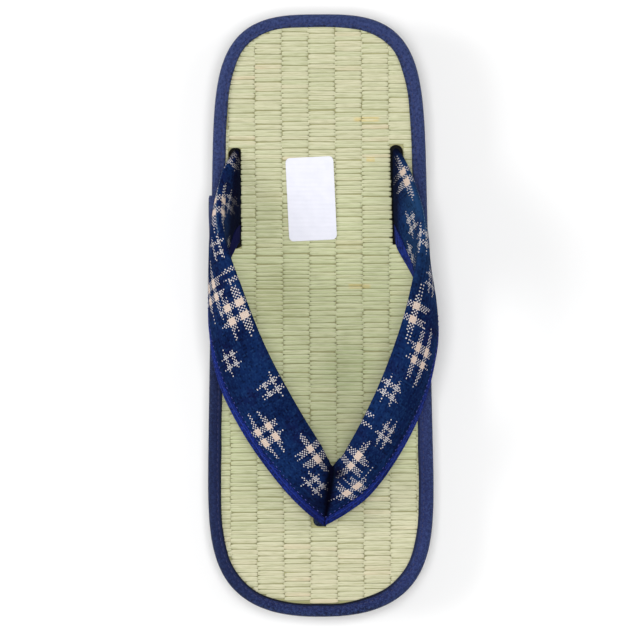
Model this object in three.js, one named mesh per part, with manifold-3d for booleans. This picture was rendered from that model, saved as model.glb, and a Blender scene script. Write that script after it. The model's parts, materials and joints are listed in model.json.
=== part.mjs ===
// A zori: a flat sandal with a sponge sole, a footbed of woven rush bound with cloth tape,
// and a padded cloth thong that rises from two side slots and meets at a toe post.
//
// Units are millimetres. The sandal stands on z = 0, its toe points along -Y and its heel
// along +Y, and x = 0 is the middle of the sole. It is made for either foot.

import * as THREE from "three";
import { mergeVertices } from "three/addons/utils/BufferGeometryUtils.js";
import Module from "manifold-3d";

const wasm = await Module();
wasm.setup();

// Sole outline
const LENGTH = 265;
const HALF_WIDTH_HEEL = 45.7; // side line carried on to the heel end, before it is rounded off
const HALF_WIDTH_TOE = 51; // the same at the toe end
const HEEL_CAP = { length: 97, along: 5.8, across: 3.05 }; // how far and how squarely an end rounds
const TOE_CAP = { length: 94, along: 5.25, across: 2.4 };

// Heights
const HEEL_HEIGHT = 24; // footbed over the floor at the heel
const BALL_HEIGHT = 17.5; // footbed over the floor under the ball of the foot
const WEDGE_FROM = 95; // y where the wedge leaves the level heel
const WEDGE_TO = -35; // y where it reaches the ball
const TOE_SPRING = 3.5; // lift of the sole's toe end
const TOE_SPRING_FROM = -82;
const HEEL_ROLL = 1.2; // lift of the sole's heel end
const HEEL_ROLL_FROM = 112;

// Layers
const GAP = 0.3; // clearance between pieces that meet
const FOOTBED_THICKNESS = 6;
const SOLE_INSET = 1; // sole's wall behind the edge of the binding
const SOLE_EDGE = { inset: 2.4, height: 2.5 }; // chamfer along the foot of the sole's wall
const FOOTBED_EDGE = { inset: 0.8, height: 1 }; // eased upper rim of the footbed
const TAPE = { thickness: 1, band: 5.6, corner: 2.2 }; // cloth binding: wall, width on top, rounding

// Strap and its blue edge tape
const STRAP_EDGE = 1.6; // half thickness of the strap at its two edges
const EDGING = { thickness: 0.7, top: 3.4, under: 4.8 }; // folded tape: wall, width on each face

// Slots and toe post
const SLOT_WIDTH = 6.2;
const SLOT_ROOM = 1.8; // room left at the ends of a slot
const POST = { width: 9.6, depth: 5.2, x: 1.6, footY: -90, topY: -84.5, topH: 12.6 };

// The strap's two edges from the right slot, round the toe, to the left slot, a row for each section.
// out is the outer and lower edge, in is the inner and upper edge, H is the height over the footbed,
// and top and under are the padding on the two faces.
const STRAP_COLUMNS = ["outX", "outY", "outH", "inX", "inY", "inH", "top", "under"];
const STRAP_ROWS = [
  [33.8, 31.5, -5.6, 33.8, 73.2, -5.6, 0.6, 0.6], // right tail, on the sole
  [33.8, 31.5, 0.0, 33.8, 73.2, 0.0, 0.6, 0.6], // mouth of the right slot
  [35.0, 29.0, 2.9, 39.0, 63.5, 10.5, 1.6, 1.0],
  [42.6, 15.0, 7.8, 45.0, 38.5, 25.5, 3.0, 1.5], // twist, the band stands on edge
  [50.0, -6.5, 12.8, 39.6, 9.0, 33.0, 3.6, 1.5],
  [47.6, -31.0, 15.8, 30.4, -19.0, 32.6, 3.6, 1.5],
  [38.0, -54.8, 16.0, 18.6, -45.0, 27.6, 3.4, 1.4],
  [22.4, -77.8, 14.0, 8.8, -61.5, 20.8, 2.8, 1.2],
  [12.4, -85.8, 12.6, 6.2, -64.8, 18.4, 2.0, 1.0],
  [2.4, -90.2, 11.6, 5.2, -66.4, 17.0, 0.4, 0.9], // fold over the toe post
  [-6.8, -84.4, 12.6, 3.8, -63.6, 17.2, 2.0, 1.0],
  [-16.4, -74.8, 13.8, 0.6, -57.0, 18.8, 2.8, 1.2],
  [-33.4, -52.2, 15.4, -10.6, -38.6, 22.8, 3.4, 1.4],
  [-44.8, -28.0, 15.0, -23.2, -15.0, 27.6, 3.6, 1.5],
  [-48.0, -4.0, 12.0, -34.6, 13.0, 30.0, 3.6, 1.5],
  [-44.0, 16.0, 7.6, -43.6, 39.5, 24.0, 3.0, 1.5], // twist
  [-38.0, 29.0, 2.9, -41.4, 63.5, 10.0, 1.6, 1.0],
  [-36.8, 31.5, 0.0, -36.8, 72.4, 0.0, 0.6, 0.6], // mouth of the left slot
  [-36.8, 31.5, -5.6, -36.8, 72.4, -5.6, 0.6, 0.6], // left tail, on the sole
].map((row) => Object.fromEntries(STRAP_COLUMNS.map((name, i) => [name, row[i]])));
const DOME_POWER = 0.7; // below 1 the padding fills out towards the edges

// Sampling of the outline and of curves
const STATIONS = 44; // points down one side of the sole
const FINE_STATIONS = 2000; // points that the side is measured along
const SECTIONS_PER_ROW = 3; // lofted steps between two rows of the strap
const DOME_STEPS = 8; // steps across one face of the strap
const FOLD_STEPS = 2; // steps across one face of the edge tape
const NOSE_STEPS = 3; // points round one edge of the strap
const CORNER_STEPS = 4; // steps round a corner
const WELD = 1e-4; // vertices closer than this are one

// Numbers and curves

const clamp01 = (t) => Math.min(1, Math.max(0, t));
const ease = (t) => (1 - Math.cos(Math.PI * clamp01(t))) / 2;

// Half the sole's width at y: a side line that widens to the toe, rounded off at both ends.
function halfWidth(y) {
  const fromHeel = LENGTH / 2 - y;
  const fromToe = LENGTH / 2 + y;
  const side = HALF_WIDTH_HEEL + ((HALF_WIDTH_TOE - HALF_WIDTH_HEEL) * fromHeel) / LENGTH;
  const rounding = (distance, cap) =>
    clamp01(1 - clamp01(1 - distance / cap.length) ** cap.along) ** (1 / cap.across);
  return side * rounding(fromHeel, HEEL_CAP) * rounding(fromToe, TOE_CAP);
}

// Height of the footbed's face: a wedge from heel to ball, and the toe's lift.
function footbedTop(y) {
  const down = ease((WEDGE_FROM - y) / (WEDGE_FROM - WEDGE_TO));
  return HEEL_HEIGHT + (BALL_HEIGHT - HEEL_HEIGHT) * down + toeSpring(y);
}

function toeSpring(y) {
  return TOE_SPRING * clamp01((TOE_SPRING_FROM - y) / (TOE_SPRING_FROM + LENGTH / 2)) ** 2;
}

// Height of the sole's underside: flat from heel to ball, lifted a little at both ends.
function soleBottom(y) {
  const heelRoll = HEEL_ROLL * clamp01((y - HEEL_ROLL_FROM) / (LENGTH / 2 - HEEL_ROLL_FROM)) ** 2;
  return toeSpring(y) + heelRoll;
}

const footbedBottom = (y) => footbedTop(y) - FOOTBED_THICKNESS;

// One side of the sole from heel tip to toe tip, evenly spaced along the edge, with the way inwards.
function sideOfSole() {
  const fine = [];
  for (let i = 0; i <= FINE_STATIONS; i++) {
    const y = (LENGTH / 2) * Math.cos((Math.PI * i) / FINE_STATIONS);
    fine.push(new THREE.Vector2(halfWidth(y), y));
  }
  const run = [0];
  for (let i = 1; i < fine.length; i++) run.push(run[i - 1] + fine[i].distanceTo(fine[i - 1]));
  const points = [];
  for (let k = 0, i = 1; k < STATIONS; k++) {
    const target = (run.at(-1) * k) / (STATIONS - 1);
    while (i < fine.length - 1 && run[i] < target) i++;
    const share = (target - run[i - 1]) / (run[i] - run[i - 1]);
    points.push(fine[i - 1].clone().lerp(fine[i], share));
  }
  return points.map((point, k) => {
    const before = points[Math.max(0, k - 1)];
    const after = points[Math.min(STATIONS - 1, k + 1)];
    const inward = new THREE.Vector2(after.y - before.y, before.x - after.x).normalize();
    if (k === 0) inward.set(0, -1);
    if (k === STATIONS - 1) inward.set(0, 1);
    return { point, inward };
  });
}

const SIDE = sideOfSole();

// The edge of the sole drawn in by an inset, as a closed ring: left side down, right side up.
function outlineRing(inset) {
  const right = SIDE.map(({ point, inward }) => point.clone().addScaledVector(inward, inset));
  const left = right.map((p) => new THREE.Vector2(-p.x, p.y));
  return [...left, ...right.slice(1, -1).reverse()];
}

// Meshes and solids

function meshOf(positions, triangles) {
  const geometry = new THREE.BufferGeometry();
  geometry.setAttribute("position", new THREE.Float32BufferAttribute(positions.flat(), 3));
  geometry.setIndex(triangles.flat());
  return geometry;
}

function solidOf(geometry) {
  const bare = geometry.clone();
  bare.deleteAttribute("normal");
  bare.deleteAttribute("uv");
  const merged = mergeVertices(bare, WELD);
  return new wasm.Manifold(
    new wasm.Mesh({
      numProp: 3,
      vertProperties: merged.attributes.position.array,
      triVerts: new Uint32Array(merged.index.array),
    }),
  );
}

function geometryOf(solid) {
  const { vertProperties, triVerts } = solid.getMesh();
  const geometry = new THREE.BufferGeometry();
  geometry.setAttribute("position", new THREE.BufferAttribute(vertProperties, 3));
  geometry.setIndex(new THREE.BufferAttribute(triVerts, 1));
  return geometry;
}

// Joins a list of closed loops of equal length, one after another, into a skin.
function skin(loops, closed) {
  const size = loops[0].length;
  const triangles = [];
  const count = closed ? loops.length : loops.length - 1;
  for (let k = 0; k < count; k++) {
    const here = k * size;
    const next = ((k + 1) % loops.length) * size;
    for (let i = 0; i < size; i++) {
      const j = (i + 1) % size;
      triangles.push([here + i, here + j, next + j], [here + i, next + j, next + i]);
    }
  }
  return triangles;
}

// A slab with the sole's outline: rings from bottom to top, each with an inset and a height over y.
function slab(rings) {
  const loops = rings.map(({ inset, height }) =>
    outlineRing(inset).map((p) => [p.x, p.y, height(p.y)]),
  );
  const size = loops[0].length;
  const triangles = skin(loops, false);
  const rung = (k) => [k, (size - k) % size]; // the left and right points of station k
  const lid = (offset, up) => {
    for (let k = 0; k < STATIONS - 1; k++) {
      const [left, right] = rung(k);
      const [nextLeft, nextRight] = rung(k + 1);
      for (const [a, b, c] of [[left, nextLeft, nextRight], [left, nextRight, right]]) {
        if (a === b || b === c || a === c) continue;
        triangles.push((up ? [a, b, c] : [a, c, b]).map((i) => i + offset));
      }
    }
  };
  lid(0, false);
  lid((loops.length - 1) * size, true);
  return outward(meshOf(loops.flat(), triangles));
}

// Turns a closed skin so that its faces point out.
function outward(geometry) {
  const p = geometry.attributes.position;
  const corner = (i) => new THREE.Vector3().fromBufferAttribute(p, geometry.index.getX(i));
  let volume = 0;
  for (let i = 0; i < geometry.index.count; i += 3) {
    volume += corner(i).dot(corner(i + 1).cross(corner(i + 2)));
  }
  if (volume < 0) geometry.index.array.reverse();
  return geometry;
}

// A stadium-shaped or rounded bar standing upright, for cutting slots and shaping the toe post.
function roundedBar(width, depth, low, high) {
  const radius = Math.min(width, depth) / 2;
  const shape = new THREE.Shape();
  const x = width / 2 - radius;
  const y = depth / 2 - radius;
  shape.absarc(x, y, radius, 0, Math.PI / 2);
  shape.absarc(-x, y, radius, Math.PI / 2, Math.PI);
  shape.absarc(-x, -y, radius, Math.PI, 1.5 * Math.PI);
  shape.absarc(x, -y, radius, 1.5 * Math.PI, 2 * Math.PI);
  const bar = new THREE.ExtrudeGeometry(shape, {
    depth: high - low,
    bevelEnabled: false,
    curveSegments: CORNER_STEPS,
  });
  return bar.translate(0, 0, low);
}

// Strap loft: two edge curves, and a section between them that is padded on both faces

const alongRows = (place) => new THREE.CatmullRomCurve3(STRAP_ROWS.map(place), false, "centripetal");
const OUTER_EDGE = alongRows((row) => new THREE.Vector3(row.outX, row.outY, footbedTop(row.outY) + row.outH));
const INNER_EDGE = alongRows((row) => new THREE.Vector3(row.inX, row.inY, footbedTop(row.inY) + row.inH));
const PADDING = alongRows((row) => new THREE.Vector3(row.top, row.under, 0));

// Where the strap is at a share of its rows, which way its width and face point, and its padding.
function strapFrame(share) {
  const step = 0.5 / STRAP_ROWS.length;
  const middle = (t) => OUTER_EDGE.getPoint(clamp01(t)).add(INNER_EDGE.getPoint(clamp01(t)));
  const outer = OUTER_EDGE.getPoint(share);
  const across = INNER_EDGE.getPoint(share).sub(outer);
  const run = middle(share + step).sub(middle(share - step));
  const face = across.clone().cross(run).normalize();
  const width = across.length();
  const padding = PADDING.getPoint(share);
  return { outer, across: across.normalize(), face, width, top: padding.x, under: padding.y };
}

const dome = (u, width) => (4 * clamp01(u / width) * (1 - clamp01(u / width))) ** DOME_POWER;
const topFace = (u, frame) => STRAP_EDGE + frame.top * dome(u, frame.width);
const underFace = (u, frame) => -STRAP_EDGE - frame.under * dome(u, frame.width);

// A half-round nose about (centre, 0), from its under side to its top side.
function nose(centre, radius, side) {
  const points = [];
  for (let i = 1; i < NOSE_STEPS + 1; i++) {
    const angle = (Math.PI * i) / (NOSE_STEPS + 1);
    points.push([centre + side * radius * Math.sin(angle), -radius * Math.cos(angle)]);
  }
  return points;
}

const span = (from, to, steps) =>
  Array.from({ length: steps + 1 }, (_, i) => from + ((to - from) * i) / steps);

// Section of the whole strap, cloth and edge tape together.
function wholeSection(frame) {
  const inner = frame.width - STRAP_EDGE;
  return [
    ...span(STRAP_EDGE, inner, DOME_STEPS).map((u) => [u, underFace(u, frame)]),
    ...nose(inner, STRAP_EDGE, 1),
    ...span(inner, STRAP_EDGE, DOME_STEPS).map((u) => [u, topFace(u, frame)]),
    ...nose(STRAP_EDGE, STRAP_EDGE, -1).reverse(),
  ];
}

// Section of the padded cloth body: a thin tongue at the outer edge goes inside the edge tape.
function bodySection(frame) {
  const inner = frame.width - STRAP_EDGE;
  const sunk = EDGING.thickness + GAP;
  const tongue = STRAP_EDGE;
  const under = span(EDGING.under + GAP, inner, DOME_STEPS).map((u) => [u, underFace(u, frame)]);
  const top = span(inner, EDGING.top + GAP, DOME_STEPS).map((u) => [u, topFace(u, frame)]);
  const tongueUnder = [tongue, EDGING.under + GAP].map((u) => [u, underFace(u, frame) + sunk]);
  const tongueTop = [EDGING.top + GAP, tongue].map((u) => [u, topFace(u, frame) - sunk]);
  return [...tongueUnder, ...under, ...nose(inner, STRAP_EDGE, 1), ...top, ...tongueTop];
}

// Section of the edge tape, folded round the outer edge like a letter C.
function edgingSection(frame) {
  const wall = EDGING.thickness;
  const outside = [
    ...span(EDGING.under, STRAP_EDGE, FOLD_STEPS).map((u) => [u, underFace(u, frame)]),
    ...nose(STRAP_EDGE, STRAP_EDGE, -1),
    ...span(STRAP_EDGE, EDGING.top, FOLD_STEPS).map((u) => [u, topFace(u, frame)]),
  ];
  const inside = [
    ...span(EDGING.top, STRAP_EDGE, FOLD_STEPS).map((u) => [u, topFace(u, frame) - wall]),
    ...nose(STRAP_EDGE, STRAP_EDGE - wall, -1).reverse(),
    ...span(STRAP_EDGE, EDGING.under, FOLD_STEPS).map((u) => [u, underFace(u, frame) + wall]),
  ];
  return [...outside, ...inside];
}

// A section carried along the strap from slot to slot, lowered by a drop.
function loftStrap(section, drop = 0) {
  const count = (STRAP_ROWS.length - 1) * SECTIONS_PER_ROW;
  const loops = [];
  for (let k = 0; k <= count; k++) {
    const frame = strapFrame(k / count);
    loops.push(
      section(frame).map(([u, v]) => {
        const p = frame.outer.clone().addScaledVector(frame.across, u).addScaledVector(frame.face, v);
        return [p.x, p.y, p.z - drop];
      }),
    );
  }
  const ends = [
    ...cap(loops[0], 0, -1),
    ...cap(loops.at(-1), count * loops[0].length, 1),
  ];
  return outward(meshOf(loops.flat(), [...skin(loops, false), ...ends]));
}

// Fills a loop seen from above; the sense is 1 to turn with the loop and -1 to turn against it.
function cap(loop, offset, sense) {
  const flat = loop.map(([x, y]) => new THREE.Vector2(x, y));
  const turn = THREE.ShapeUtils.area(flat) * sense;
  return THREE.ShapeUtils.triangulateShape(flat, []).map(([a, b, c]) => {
    const same = THREE.ShapeUtils.area([flat[a], flat[b], flat[c]]) * turn > 0;
    return (same ? [a, b, c] : [a, c, b]).map((i) => i + offset);
  });
}

// Pieces

function outsole() {
  return slab([
    { inset: SOLE_INSET + SOLE_EDGE.inset, height: soleBottom },
    { inset: SOLE_INSET, height: (y) => soleBottom(y) + SOLE_EDGE.height },
    { inset: SOLE_INSET, height: (y) => footbedBottom(y) - GAP },
  ]);
}

// An upright bar that cuts the slot for one tail of the strap, right through the footbed.
function slotCutter(tail) {
  const length = tail.inY - tail.outY + 2 * SLOT_ROOM;
  const bar = roundedBar(SLOT_WIDTH, length, 0, 2 * HEEL_HEIGHT);
  return bar.translate(tail.outX, (tail.inY + tail.outY) / 2, 0);
}

// A leaning bar that cuts the hole for the toe post, with clearance all round.
function postCutter() {
  return leanPost(roundedBar(POST.width + 2 * GAP, POST.depth + 2 * GAP, 0, 2 * HEEL_HEIGHT));
}

// Leans an upright bar so that its middle runs from the hole in the footbed to under the strap.
function leanPost(bar) {
  const lean = (POST.topY - POST.footY) / POST.topH;
  const p = bar.attributes.position;
  for (let i = 0; i < p.count; i++) {
    const rise = p.getZ(i) - footbedTop(POST.footY);
    p.setXY(i, p.getX(i) + POST.x, p.getY(i) + POST.footY + lean * rise);
  }
  return bar;
}

function footbed() {
  const rim = TAPE.thickness + GAP;
  const plate = slab([
    { inset: rim, height: footbedBottom },
    { inset: rim, height: (y) => footbedTop(y) - FOOTBED_EDGE.height },
    { inset: rim + FOOTBED_EDGE.inset, height: footbedTop },
  ]);
  const cutters = [slotCutter(STRAP_ROWS[0]), slotCutter(STRAP_ROWS.at(-1)), postCutter()];
  return geometryOf(cutters.reduce((solid, cutter) => solid.subtract(solidOf(cutter)), solidOf(plate)));
}

// Cloth tape round the rim: a band on top, a rounded corner and a wall down to the sole.
function edgeBinding() {
  const { thickness, band, corner } = TAPE;
  const crown = GAP + thickness; // top of the tape over the footbed
  const arc = span(0, 1, CORNER_STEPS).map((t) => [
    corner - corner * Math.cos((t * Math.PI) / 2),
    crown - corner + corner * Math.sin((t * Math.PI) / 2),
  ]);
  const profile = [
    [0, -FOOTBED_THICKNESS],
    ...arc,
    [band - thickness / 2, crown],
    [band, crown - thickness / 2],
    [band, GAP],
    [thickness + FOOTBED_EDGE.inset, GAP],
    [thickness, GAP - FOOTBED_EDGE.height],
    [thickness, -FOOTBED_THICKNESS],
  ];
  const rings = profile.map(([inset, rise]) =>
    outlineRing(inset).map((p) => [p.x, p.y, footbedTop(p.y) + rise]),
  );
  return outward(meshOf(rings.flat(), skin(rings, true)));
}

// Cloth post from the sole's top, through the hole, to just under the strap.
function toePost() {
  const low = footbedBottom(POST.footY);
  const high = footbedTop(POST.footY) + POST.topH;
  const bar = leanPost(roundedBar(POST.width, POST.depth, low, high));
  return geometryOf(solidOf(bar).subtract(solidOf(loftStrap(wholeSection, GAP))));
}

// Assembly

const MATERIALS = {
  sponge: { color: 0x1c1e26, roughness: 0.85 },
  rush: { color: 0xc6c5a0, roughness: 0.7 },
  binding: { color: 0x2a3560, roughness: 0.8 },
  cloth: { color: 0x15234d, roughness: 0.85 },
  edging: { color: 0x20297a, roughness: 0.75 },
};

const sandal = new THREE.Group();
sandal.name = "zori";

function place(name, geometry, finish) {
  const material = new THREE.MeshStandardMaterial({ metalness: 0, ...MATERIALS[finish] });
  const mesh = new THREE.Mesh(geometry, material);
  mesh.name = name;
  sandal.add(mesh);
}

place("outsole", outsole(), "sponge");
place("footbed", footbed(), "rush");
place("edge_binding", edgeBinding(), "binding");
place("strap", loftStrap(bodySection), "cloth");
place("strap_edging", loftStrap(edgingSection), "edging");
place("toe_post", toePost(), "cloth");

export default sandal;
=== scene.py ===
# %% [markdown]
# # A zori sandal, dressed over its CAD frame
# The part is one zori: a sponge sole, a footbed woven from rush, an edge bound in navy
# tape, and a padded strap of indigo kasuri cloth that folds over a toe post. The CAD
# model gives the sizes and the places. This lesson makes what the eye looks for: the
# separate rushes, the weave and its pale figures, the folds, the stitches and the nap.
# Everything is written in millimetres in the CAD frame (toe towards -Y, up is +Z) and
# becomes metres when a mesh is made.

# %% Load the frame
import json
import math

import bmesh
import bpy
import numpy as np
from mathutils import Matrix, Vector
from mathutils.bvhtree import BVHTree

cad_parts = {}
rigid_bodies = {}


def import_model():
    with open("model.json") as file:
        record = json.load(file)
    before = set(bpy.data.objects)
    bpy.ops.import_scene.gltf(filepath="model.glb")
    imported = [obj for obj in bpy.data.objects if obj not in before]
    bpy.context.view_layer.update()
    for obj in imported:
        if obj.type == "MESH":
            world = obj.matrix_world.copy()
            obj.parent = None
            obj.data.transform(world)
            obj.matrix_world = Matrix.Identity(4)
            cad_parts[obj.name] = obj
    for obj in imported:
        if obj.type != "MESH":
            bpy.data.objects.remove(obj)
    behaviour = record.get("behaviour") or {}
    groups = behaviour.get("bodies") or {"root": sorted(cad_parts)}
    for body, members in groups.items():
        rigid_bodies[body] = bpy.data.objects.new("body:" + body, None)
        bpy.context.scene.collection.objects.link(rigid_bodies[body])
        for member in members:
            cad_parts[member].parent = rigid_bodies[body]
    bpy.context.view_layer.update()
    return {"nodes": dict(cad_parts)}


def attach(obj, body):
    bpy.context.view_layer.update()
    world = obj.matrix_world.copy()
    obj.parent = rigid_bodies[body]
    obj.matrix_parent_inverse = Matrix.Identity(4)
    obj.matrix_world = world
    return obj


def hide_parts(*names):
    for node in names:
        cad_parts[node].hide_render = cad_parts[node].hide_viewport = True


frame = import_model()
scene = bpy.context.scene
MM = 0.001
print("CAD nodes:", ", ".join(sorted(frame["nodes"])))

# %% [markdown]
# ## Camera
# The photograph looks straight down from far away, so a long lens high above the shoe
# gives the same flat view. The scale of the photograph sets the lens: one pixel is
# 0.44 mm on the shoe. Three tenths of a degree of roll take up how the shoe was laid.

# %% Camera
PIXEL = 0.4402
PICTURE = 640
MIDDLE_ROW = 315.7
CAMERA_HEIGHT = 2420.0
SHOE_LEVEL = 20.0
SENSOR = 36.0
ROLL = -0.3
FAR_CLIP = 20.0

camera_data = bpy.data.cameras.new("camera")
camera_data.sensor_width = SENSOR
camera_data.lens = SENSOR * (CAMERA_HEIGHT - SHOE_LEVEL) / (PIXEL * PICTURE)
camera_data.clip_end = FAR_CLIP
camera = bpy.data.objects.new("camera", camera_data)
camera.location = (0.0, (MIDDLE_ROW - PICTURE / 2) * PIXEL * MM, CAMERA_HEIGHT * MM)
camera.rotation_euler = (0.0, 0.0, math.radians(ROLL))
scene.collection.objects.link(camera)
scene.camera = camera
print("lens", round(camera_data.lens, 1), "mm")

# %% [markdown]
# ## Shader maths in plain Python
# A material is a web of nodes. Wiring each one by hand hides the idea, so one small
# class stands for a value that a socket gives out. Adding or comparing two values adds
# the Math node that does it. Every other node comes from `Finish.node`, which sets the
# node's settings first and then its sockets.

# %% Values
class Value:
    """A number, vector or colour that a shader socket gives out."""

    def __init__(self, finish, socket):
        self.finish = finish
        self.socket = socket

    def math(self, operation, *others):
        return self.finish.node("ShaderNodeMath", {"operation": operation}, [self, *others])

    def __add__(self, other):
        return self.math("ADD", other)

    def __sub__(self, other):
        return self.math("SUBTRACT", other)

    def __rsub__(self, other):
        return self.finish.node("ShaderNodeMath", {"operation": "SUBTRACT"}, [other, self])

    def __mul__(self, other):
        return self.math("MULTIPLY", other)

    def __truediv__(self, other):
        return self.math("DIVIDE", other)

    def __mod__(self, other):
        return self.math("FLOORED_MODULO", other)

    def __lt__(self, other):
        return self.math("LESS_THAN", other)

    def __gt__(self, other):
        return self.math("GREATER_THAN", other)

    def __abs__(self):
        return self.math("ABSOLUTE")

    def __floor__(self):
        return self.math("FLOOR")

    def step(self, low, high):
        """0 below low, 1 above high, and a smooth rise between."""
        settings = {"interpolation_type": "SMOOTHSTEP"}
        return self.finish.node("ShaderNodeMapRange", settings, [self, low, high, 0.0, 1.0])

    def parts(self):
        return self.finish.node("ShaderNodeSeparateXYZ", {}, [self], out=(0, 1, 2))

    __radd__ = __add__
    __rmul__ = __mul__


print("shader values ready")

# %% [markdown]
# A finish is a material in the making. Its methods add the nodes that come up again and
# again, and `wear` plugs what they give into the Principled shader.

# %% Finishes
class Finish:
    """A material in the making: a Principled shader and the nodes that feed it."""

    def __init__(self, name, **constants):
        self.material = bpy.data.materials.new(name)
        self.material.use_nodes = True
        self.tree = self.material.node_tree
        self.shader = self.tree.nodes["Principled BSDF"]
        self.wear(**constants)

    def feed(self, node, sockets):
        pairs = sockets.items() if isinstance(sockets, dict) else enumerate(sockets)
        for key, value in pairs:
            if isinstance(value, Value):
                self.tree.links.new(value.socket, node.inputs[key])
            else:
                node.inputs[key].default_value = value

    def node(self, kind, settings, sockets, out=0):
        made = self.tree.nodes.new(kind)
        for key, value in settings.items():
            if key == "stops":
                ramp = made.color_ramp.elements
                while len(ramp) < len(value):
                    ramp.new(1.0)
                for element, (place, colour) in zip(ramp, value):
                    element.position = place
                    element.color = colour
            else:
                setattr(made, key, value)
        self.feed(made, sockets)
        if isinstance(out, tuple):
            return [Value(self, made.outputs[o]) for o in out]
        return Value(self, made.outputs[out])

    def mix(self, factor, first, second):
        sockets = {0: factor, 6: first, 7: second}
        return self.node("ShaderNodeMix", {"data_type": "RGBA"}, sockets, out=2)

    def layers(self, body, *coats):
        """A colour with coats laid over it in turn, each given as a share and a colour."""
        for share, colour in coats:
            body = self.mix(share, body, colour)
        return body

    def ramp(self, factor, *stops):
        return self.node("ShaderNodeValToRGB", {"stops": stops}, [factor])

    def attribute(self, name, out="Fac"):
        return self.node("ShaderNodeAttribute", {"attribute_name": name}, [], out=out)

    def uv(self, name="cloth"):
        return self.node("ShaderNodeUVMap", {"uv_map": name}, []).parts()

    def object_place(self):
        return self.node("ShaderNodeTexCoord", {}, [], out="Object")

    def vector(self, x, y, z=0.0):
        return self.node("ShaderNodeCombineXYZ", {}, [x, y, z])

    def noise(self, vector, scale, detail=2.0, rough=0.5):
        sockets = {"Vector": vector, "Scale": scale, "Detail": detail, "Roughness": rough}
        return self.node("ShaderNodeTexNoise", {}, sockets)

    def bump(self, height, distance, strength=1.0):
        sockets = {"Height": height, "Distance": distance, "Strength": strength}
        self.feed(self.shader, {"Normal": self.node("ShaderNodeBump", {}, sockets)})

    def wear(self, **sockets):
        self.feed(self.shader, {key.replace("_", " "): v for key, v in sockets.items()})
        if "Base_Color" in sockets:
            print(self.material.name, "finish of", len(self.tree.nodes), "nodes")


def srgb(red, green, blue):
    """A colour as a screen shows it, 0 to 255, made linear for Blender."""
    shares = [c / 255.0 for c in (red, green, blue)]
    return (*[s / 12.92 if s <= 0.04045 else ((s + 0.055) / 1.055) ** 2.4 for s in shares], 1.0)


def grey(share):
    return (share, share, share, 1.0)


print("finishes ready")

# %% [markdown]
# ## From points to a piece
# Most of the soft pieces are skins: a row of rings with the same number of points,
# joined into quads. `skin` gives the faces and `make_piece` the object, with its place
# in the mesh, its normals turned outwards and a UV map in metres where cloth needs one.
# `corners` walks the faces of a tube for such a map, and `mark` stores a number per point.

# %% Making pieces
def skin(rings, around, closed_path=False, lids=True):
    """Faces of a tube through rings of so many points, numbered ring by ring."""
    faces = []
    for r in range(rings if closed_path else rings - 1):
        here = r * around
        there = (r + 1) % rings * around
        for i in range(around):
            j = (i + 1) % around
            faces.append((here + i, here + j, there + j, there + i))
    if lids and not closed_path:
        faces.append(tuple(range(around))[::-1])
        faces.append(tuple(range((rings - 1) * around, rings * around)))
    return faces


def corners(faces, around):
    """Ring and place round it of every face corner, where the last face closes the ring."""
    for face in faces:
        wraps = len(face) == 4 and max(v % around for v in face) == around - 1
        for v in face:
            ring, i = divmod(v, around)
            yield ring, around if wraps and i == 0 else i


def mark(piece, name, values):
    """Stores a number on each point of a piece, for its finish to read."""
    layer = piece.data.attributes.new(name, "FLOAT", "POINT")
    layer.data.foreach_set("value", np.ravel(values))


def make_piece(name, points, faces, material, sharp=50.0, uvs=None, uv_name="cloth"):
    """A piece of the object from points in millimetres, at the origin."""
    mesh = bpy.data.meshes.new(name)
    mesh.from_pydata((np.reshape(points, (-1, 3)) * MM).tolist(), [], faces)
    if uvs is not None:
        layer = mesh.uv_layers.new(name=uv_name)
        layer.data.foreach_set("uv", (np.asarray(uvs) * MM).ravel())
    work = bmesh.new()
    work.from_mesh(mesh)
    bmesh.ops.recalc_face_normals(work, faces=work.faces)
    work.to_mesh(mesh)
    work.free()
    mesh.polygons.foreach_set("use_smooth", [True] * len(mesh.polygons))
    mesh.set_sharp_from_angle(angle=math.radians(sharp))
    mesh.materials.append(material)
    piece = bpy.data.objects.new(name, mesh)
    scene.collection.objects.link(piece)
    print(name, len(mesh.polygons), "faces")
    return piece


# %% [markdown]
# ## Floor and light
# A plain pale floor, a soft light straight above, a lower one from the left, a weaker one
# from the right, and a dim white sky. The light from the left shades the rush inside the
# left half of the strap and leaves the outer slope of the right half dark.

# %% Floor and light
FLOOR = 1500.0
SKY_STRENGTH = 0.2

floor_finish = Finish("floor_white", Roughness=0.85)
cloudy = floor_finish.noise(floor_finish.object_place(), 3.0)
floor_paint = floor_finish.ramp(cloudy, (0.3, grey(0.86)), (0.7, grey(0.9)))
floor_finish.wear(Base_Color=floor_paint)
square = [(-FLOOR, -FLOOR, 0), (FLOOR, -FLOOR, 0), (FLOOR, FLOOR, 0), (-FLOOR, FLOOR, 0)]
floor = make_piece("floor", square, [(0, 1, 2, 3)], floor_finish.material)


def soft_light(name, place, size, power):
    """A square area light that looks at the shoe and stays out of the picture."""
    data = bpy.data.lights.new(name, "AREA")
    data.size = size
    data.energy = power
    light = bpy.data.objects.new(name, data)
    light.location = place
    light.rotation_euler = (-Vector(place)).to_track_quat("-Z", "Y").to_euler()
    light.visible_camera = False
    scene.collection.objects.link(light)


soft_light("overhead", (0.0, 0.0, 1.9), 0.8, 26.5)
soft_light("key", (-1.7, 0.15, 0.95), 0.9, 20.0)
soft_light("fill", (1.3, 0.2, 1.2), 1.0, 8.0)
scene.world = bpy.data.worlds.new("studio")
scene.world.use_nodes = True
sky = scene.world.node_tree.nodes["Background"]
sky.inputs["Color"].default_value = grey(1.0)
sky.inputs["Strength"].default_value = SKY_STRENGTH
scene.view_settings.view_transform = "Standard"
print("three soft lights and a dim sky")

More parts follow.
